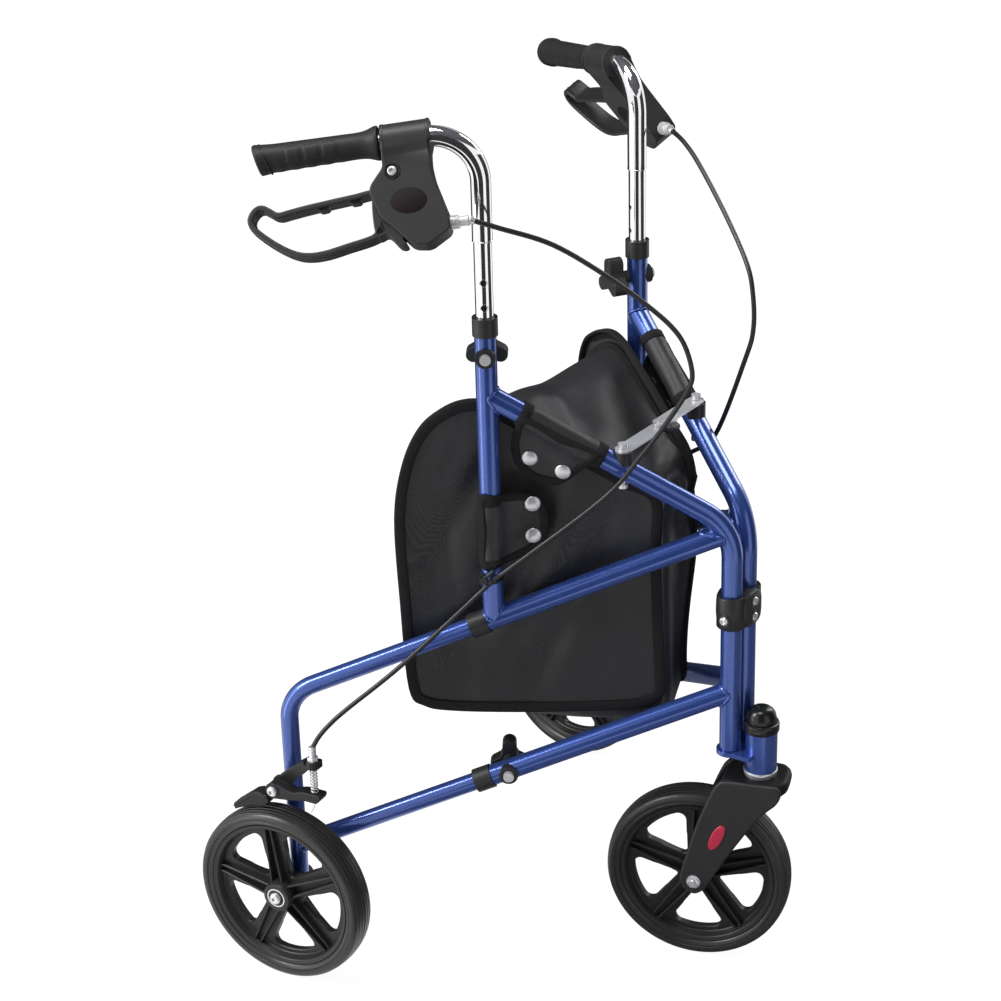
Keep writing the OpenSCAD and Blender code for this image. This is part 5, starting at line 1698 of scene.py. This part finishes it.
    def head(self) -> None:
        """Turns the cap and the rings on the steering head."""
        matrix = STANCE.head()
        cap = [(AXIS_R, 306.0), (5.5, 305.6), (10, 304.2), (13.2, 301.6), (15.0, 298), (15.8, 293.6),
               (15.9, 290.6), (15.4, 290.2), (15.4, 289.4), (17.4, 289.2), (18.5, 288.6), (18.9, 287.4),
               (18.9, 284.6), (18.4, 284.2), (18.4, 283.4), (18.9, 283.0), (18.9, 280.2), (18.5, 279.0),
               (17.4, 278.4), (12, 278.2), (AXIS_R, 272.2)]
        neck = [(17.0, 271.0), (17.0, 278.6), (12.0, 278.6), (12.0, 271.0)]
        ring = [(17.1, 229.2), (17.9, 229.5), (18.1, 230.4), (18.1, 232.6), (17.8, 233.4), (17.1, 233.6)]
        self.shop.make("cap_dressed", Shell().revolve(cap, 96, closed=False), matrix, "gloss_black", "base",
                       ["steering_cap"], sharp=40)
        self.shop.make("head_neck", Shell().revolve(neck, 96), matrix, "blue_enamel", "base", sharp=40)
        self.shop.make("head_ring", Shell().revolve(ring, 96), matrix, "zinc_plate", "base", sharp=40)
        self.shop.paint("blue_enamel", "steering_head")
        self.shop.paint("zinc_plate", "fork_stem")

    def build(self) -> None:
        """Builds the front end."""
        self.fork()
        self.markers()
        self.axle()
        self.head()
        self.clamp()


def grown(ring: Sequence[Vector], centre: Vector, by: float) -> list[Vector]:
    """A ring of points moved away from its centre."""
    return [q + (q - centre).normalized() * by for q in ring]


@dataclass
class Sleeve(Group):
    """Sleeve of the bag round a tube, with its flap snapped to the panel; sizes in millimetres."""

    words: str
    start: Flat
    stop: Flat
    outline: Sequence[Flat]
    snap_places: Sequence[Flat]
    radius: float = 12.2
    crumple: float = 0.5
    wall: float = 0.9
    rows: int = 24
    drop: float = 19.0
    drop_from: float = 6.0
    drop_run: float = 15.0
    tube_top: float = 11.8
    sway: float = 0.8
    snap_lift: float = 1.1

    def axis(self) -> Vector:
        """Direction of the tube."""
        return (self.centre(self.rows) - self.centre(0)).normalized()

    def across(self) -> Vector:
        """Direction across the tube, in the side frame's own plane."""
        axis = self.axis()
        return Vector((-axis.y, axis.x, 0))

    def centre(self, row: float) -> Vector:
        """Point on the tube's axis at a row of the sleeve."""
        return Vector((*self.start, 0)).lerp(Vector((*self.stop, 0)), row / self.rows)

    def off(self, q: Vector) -> float:
        """Distance of a point from the tube's axis, across it."""
        return (q - self.centre(0)).dot(self.across())

    def drape(self, off: float) -> float:
        """Depth at which the flap hangs at a distance from the tube."""
        share = 1 - math.exp(-max(0.0, abs(off) - self.drop_from) / self.drop_run)
        return self.drop * share - self.tube_top

    def hang(self, q: Vector, lift: float) -> Vector:
        """Puts a point of the flap at the depth where it hangs, or a lift above it."""
        sway = self.sway * (noise.noise(Vector((q.x * 0.05, q.y * 0.05, 4))) - 0.5)
        return Vector((q.x, q.y, self.drape(self.off(q)) + sway - lift))

    def wrap(self) -> None:
        """Wraps the cloth round the tube and hems both of its ends."""
        across, out = self.across(), Vector((0, 0, 1))
        rings = []
        for k in range(self.rows + 1):
            ring = []
            for t in around(48):
                cloud = noise.noise(Vector((k * 0.22, 2.2 * math.cos(t), 2.2 * math.sin(t))))
                r = self.radius + self.crumple * cloud
                ring.append(self.centre(k) + r * (math.cos(t) * across + math.sin(t) * out))
            rings.append(ring)
        lining = [grown(rings[k], self.centre(k), -self.wall) for k in (0, self.rows)]
        shell = Shell().loft(rings, Ends.NONE).loft(lining, Ends.NONE)
        self.put(f"{self.words}_sleeve", shell, "bag_vinyl", "frame", sharp=70)
        hem = Shell()
        for k, step in ((0, 1), (self.rows, -1)):
            folds = []
            for place, grow in ((0, -1.0), (0, 0.5), (0.15, 1.0), (2.4, 1.0), (2.6, 0.3), (2.6, -0.6)):
                low, share = int(place), place - int(place)
                ring = [q.lerp(r, share) for q, r in zip(rings[k + step * low], rings[k + step * (low + 1)])]
                folds.append(grown(ring, self.centre(k + step * place), grow))
            hem.loft(folds, Ends.NONE)
        self.put(f"{self.words}_hem", hem, "bag_binding", "frame", sharp=80)

    def flap(self) -> None:
        """Hangs the flap and binds its edge with tape."""
        edge = [Vector((*q, 0)) for q in flat_loop(self.outline, 6)]
        middle = sum(edge, Vector()) / len(edge)
        rings, rows = [], 8
        for k in range(rows):
            s = 1 - k / (rows - 1) * 0.97
            rings.append([self.hang(middle.lerp(q, s), 0) for q in edge])
        self.put(f"{self.words}_flap", Shell().loft(rings, Ends.LAST), "bag_vinyl", "frame", sharp=70)
        tape = ((-1.2, -0.9), (-1.4, 0.3), (-0.8, 1.2), (2.8, 1.4), (6.4, 1.4), (7.2, 0.8), (7.2, -0.6))
        strips = []
        for q in rings[0]:
            way = Vector((middle.x - q.x, middle.y - q.y, 0)).normalized()
            strips.append([self.hang(q + way * x, y) for x, y in tape])
        bound = Shell().loft(strips, loop=True)
        self.put(f"{self.words}_flap_binding", bound, "bag_binding", "frame", sharp=80)

    def snaps(self) -> None:
        """Presses the domed snaps on, each tilted as the flap lies there."""
        dome = [(7.9, 0.6), (8.2, -0.5), (7.9, -1.1), (7.2, -1.6), (6.0, -2.0), (4.4, -2.4), (2.4, -2.7),
                (AXIS_R, -2.8)]
        axis, reach = self.axis(), 6.0
        for k, (u, z) in enumerate(self.snap_places):
            off = self.off(Vector((u, z, 0)))
            slope = (self.drape(off + reach) - self.drape(off - reach)) / (2 * reach)
            tilt = (self.across() + Vector((0, 0, slope))).normalized()
            normal = axis.cross(tilt)
            normal *= math.copysign(1, normal.z)
            cap = Shell().revolve(dome, 40, closed=False).turned(Matrix((axis, tilt, normal)).transposed())
            cap.moved((u, z, self.drape(off) - self.snap_lift))
            self.put(f"{self.words}_snap_{k}", cap, "satin_silver", "frame", sharp=40)

    def build(self) -> None:
        """Builds the sleeve."""
        self.wrap()
        self.flap()
        self.snaps()


@dataclass
class Bag:
    """Coated bag that hangs between the side frames, bound at its seams; sizes in millimetres.

    A span gives the place where something starts and the place where it is full.
    """

    shop: Workshop
    gap: float = 13.4
    lean_span: Flat = (430.0, 620.0)
    tuck_in: float = 26.0
    tuck_back: float = 10.0
    tuck_below: float = 520.0
    tuck_high_span: Flat = (490.0, 320.0)
    tuck_front_span: Flat = (170.0, 80.0)
    panel_swell: float = 5.0
    panel_wave: float = 11.0
    panel_least: float = -0.8
    seam_drop: float = 18.0
    seam_lift: float = 1.5
    seam_span: Flat = (530.0, 570.0)
    cover_span: Flat = (520.0, 570.0)
    cover_back_span: Flat = (330.0, 270.0)
    floor_span: Flat = (318.0, 302.0)
    front_span: Flat = (100.0, 80.0)
    back_span: Flat = (300.0, 330.0)
    sag: float = 20.0
    floor_sag: float = 36.0
    floor_wave: float = 8.0
    fan_high: float = 6.5
    fold_high: float = 5.0
    crease_deep: float = 5.0
    pleat_deep: float = 3.5
    front_in: float = 4.0
    back_out: float = 5.0
    fan_centre: Flat = (0.17, 0.2)
    leans: dict[Side, float] = field(default_factory=lambda: {Side.RIGHT: 3.0, Side.LEFT: 15.0})
    outline: tuple[Flat, ...] = (
        (74, 536), (110, 558), (150, 582), (195, 609), (225, 627), (246, 639), (268, 640), (290, 631),
        (313, 611), (331, 573), (341, 516), (339, 420), (334, 322), (319, 302), (288, 296), (220, 294),
        (150, 295), (92, 298), (70, 312), (69, 340), (71, 400), (73, 480))
    left_top: tuple[Flat, ...] = (
        (80, 548), (112, 574), (152, 600), (190, 622), (214, 633), (238, 637), (262, 633), (286, 622),
        (311, 604), (331, 570))

    def edge(self, side: Side) -> list[Vector]:
        """Draws the seam line of a side panel.

        Args:
            side: the side frame that the panel hangs on.

        Returns:
            Place behind the upright, height and inward offset of each point.
        """
        own = self.outline if side is Side.RIGHT else self.left_top + self.outline[len(self.left_top):]
        line = []
        for u, z in flat_loop(own, 6):
            w = self.gap + self.leans[side] * ramp(z, self.lean_span) ** 1.5
            if side is Side.LEFT:
                low = ramp(z, self.tuck_high_span)
                tuck = (0.2 + 0.8 * low * low * (3 - 2 * low)) * ramp(u, self.tuck_front_span) ** 1.5
                w += self.tuck_in * tuck * (z < self.tuck_below)
                u -= self.tuck_back * tuck * low
            line.append(Vector((u, z, w)))
        return line

    def ripple(self, u: float, z: float, seed: float) -> float:
        """Soft unevenness of hanging vinyl.

        Args:
            u: place behind the upright.
            z: height.
            seed: another number gives other folds.

        Returns:
            A value from about -1 to 1.
        """
        broad = noise.noise(Vector((u * 0.013 + z * 0.005, z * 0.0045, seed)))
        fine = noise.noise(Vector((u * 0.034 + z * 0.02, z * 0.012, seed + 5)))
        return 1.25 * broad + 0.4 * fine

    def panel(self, side: Side) -> Shell:
        """Cuts a side panel, as rings that shrink from its seam to its middle.

        Args:
            side: the side frame that it hangs on.

        Returns:
            Its shell, in metres.
        """
        matrix, rim, rows = STANCE.side(side), self.edge(side), 30
        middle = sum(rim, Vector()) / len(rim)
        rings = []
        for k in range(rows):
            s = 1 - k / (rows - 1) * 0.985
            soft = min(1.0, (1 - s) * 2.4)
            ring = [middle.lerp(q, s) for q in rim]
            for p in ring:
                wave = self.panel_wave * self.ripple(p.x, p.y, 3.1 * side.value)
                p.z += soft * max(self.panel_least, self.panel_swell + wave)
            rings.append([matrix @ p for p in ring])
        return Shell().loft(rings, Ends.LAST)

    def tucked(self) -> list[Vector]:
        """Draws the line on the left panel where the cover is sewn, a little below that panel's top seam.

        Returns:
            The points of the line, as the seam line has them.
        """
        rim = self.edge(Side.LEFT)
        middle = sum(rim, Vector()) / len(rim)
        line = []
        for q in rim:
            top = ramp(q.y, self.seam_span)
            inward = (middle - q).normalized() * (self.seam_drop * top)
            line.append(q + inward + Vector((0, 0, self.seam_lift * top)))
        return line

    def gusset(self) -> Shell:
        """Cuts the strip that joins the two side panels: cover, back, floor and front.

        Returns:
            Its shell, in metres.
        """
        right, left = STANCE.side(Side.RIGHT), STANCE.side(Side.LEFT)
        near, far, rows = self.edge(Side.RIGHT), self.tucked(), 61
        rings = []
        for k in range(rows):
            t = k / (rows - 1)
            arch = MM * 4 * t * (1 - t)
            ring = []
            for q, r in zip(near, far):
                p = (right @ q).lerp(left @ r, t)
                cover = ramp(q.y, self.cover_span) * ramp(q.x, self.cover_back_span)
                floor = ramp(q.y, self.floor_span)
                wall = (1 - cover) * (1 - floor)
                front, back = ramp(q.x, self.front_span) * wall, ramp(q.x, self.back_span) * wall
                turn = math.atan2(p.x - self.fan_centre[0], p.y - self.fan_centre[1])
                fan = abs(math.sin(turn * 8.0 + 0.7)) - 0.6 + 0.4 * math.sin(turn * 19.0 + 0.4)
                fold = noise.noise(Vector((p.x * 16, p.y * 8, 1.7)))
                lift = self.fan_high * fan + self.fold_high * fold - self.sag
                p.z += arch * (cover * lift - floor * (self.floor_sag + self.floor_wave * fold))
                crease = noise.noise(Vector((p.x * 30, p.z * 5, 7.7)))
                pleat = math.sin(p.x * 190 + 2.2 * crease)
                dent = self.crease_deep * crease
                p.y += arch * (front * (dent - self.front_in + self.pleat_deep * pleat)
                               - back * (dent + self.back_out))
                ring.append(p)
            rings.append(ring)
        return Shell().loft(rings, Ends.NONE)

    def soft(self, name: str, shell: Shell, matrix: Matrix, finish: str, nodes: Sequence[str],
             sharp: float) -> None:
        """Makes a soft piece with a mesh of its own.

        Args:
            name: the piece's name.
            shell: its points and faces.
            matrix: places them in the row.
            finish: name of its finish.
            nodes: solids that it stands for.
            sharp: angle that still counts as an edge, in degrees.
        """
        obj = self.shop.make(name, shell, matrix, finish, "base", nodes, sharp=sharp)
        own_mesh(obj)

    def body(self) -> None:
        """Sews the bag's skin and binds its seams with flat tape."""
        skin = self.panel(Side.RIGHT).join(self.panel(Side.LEFT)).join(self.gusset())
        self.soft("bag_skin", skin, Matrix.Identity(4), "bag_vinyl", ["bag"], 60)
        tape = ((-1.6, 0.6), (-1.2, 1.5), (0.5, 1.9), (8.6, 1.7), (9.6, 1.1), (9.7, 0.1), (8.8, -0.6),
                (2.4, -0.8), (2.2, -6.4), (1.6, -7.2), (-0.6, -7.2), (-1.6, -6.4))
        inner = ((-5.0, -0.5), (-4.4, -2.2), (3.6, -2.4), (4.4, -1.2), (4.4, 0.4), (-5.0, 0.4))
        for side, words, rim, shape in ((Side.RIGHT, "right", self.edge(Side.RIGHT), tape),
                                        (Side.LEFT, "left", self.edge(Side.LEFT), tape),
                                        (Side.LEFT, "cover", self.tucked(), inner)):
            n = len(rim)
            middle = sum(rim, Vector()) / n
            rings = []
            for k, q in enumerate(rim):
                along = (rim[(k + 1) % n] - rim[k - 1]).normalized()
                across = Vector((0, 0, 1)).cross(along).normalized()
                inward = across if across.dot(middle - q) > 0 else -across
                rings.append([q + inward * a - Vector((0, 0, b)) for a, b in shape])
            bound = Shell().loft(rings, loop=True)
            self.soft(f"bag_binding_{words}", bound, STANCE.side(side), "bag_binding", [], 80)

    def sleeves(self) -> None:
        """Wraps the sleeves of both sides: one on the upper tube and one on the post."""
        s = STANCE
        upper = [(208, 634), (216, 618), (220, 600), (217, 580), (203, 563), (185, 556.5), (172, 557),
                 (152, 573), (137, 590), (135, 597), (170, 614)]
        post = [(254, 548), (232, 548), (206, 545), (191, 534), (186, 516), (190, 496), (204, 482),
                (230, 474), (254, 472), (255, 510)]
        for side in Side:
            for words, start, stop, flap, snaps in (
                    ("upper", (212, s.upper_at(212)), (130, s.upper_at(130)), upper,
                     [(203, 585), (170, 570)]),
                    ("post", (s.post_u, 546), (s.post_u, 472), post, [(201, 535), (201, 500)])):
                Sleeve(self.shop, side.tag, s.side(side), words, start, stop, flap, snaps).build()

    def build(self) -> None:
        """Builds the bag."""
        self.body()
        self.sleeves()


def main() -> None:
    """Builds the studio and every dressed piece."""
    logging.basicConfig(level=logging.INFO, format="%(name)s: %(message)s")
    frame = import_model()
    Studio().build()
    shop = Workshop(frame)
    for side in Side:
        SideFrame(shop, side.tag, STANCE.side(side)).build()
        HandBrake(shop, side.tag, STANCE.brake(side), STANCE.side(side)).build()
        RearBrake(shop, side.tag, STANCE.leg(side)).build()
        Wheel(shop, side.tag, STANCE.rear_wheel(side)).build()
    Wheel(shop, "front", STANCE.front_wheel(), first=90.0).build()
    FrontEnd(shop).build()
    Bag(shop).build()


if __name__ == "__main__":
    main()
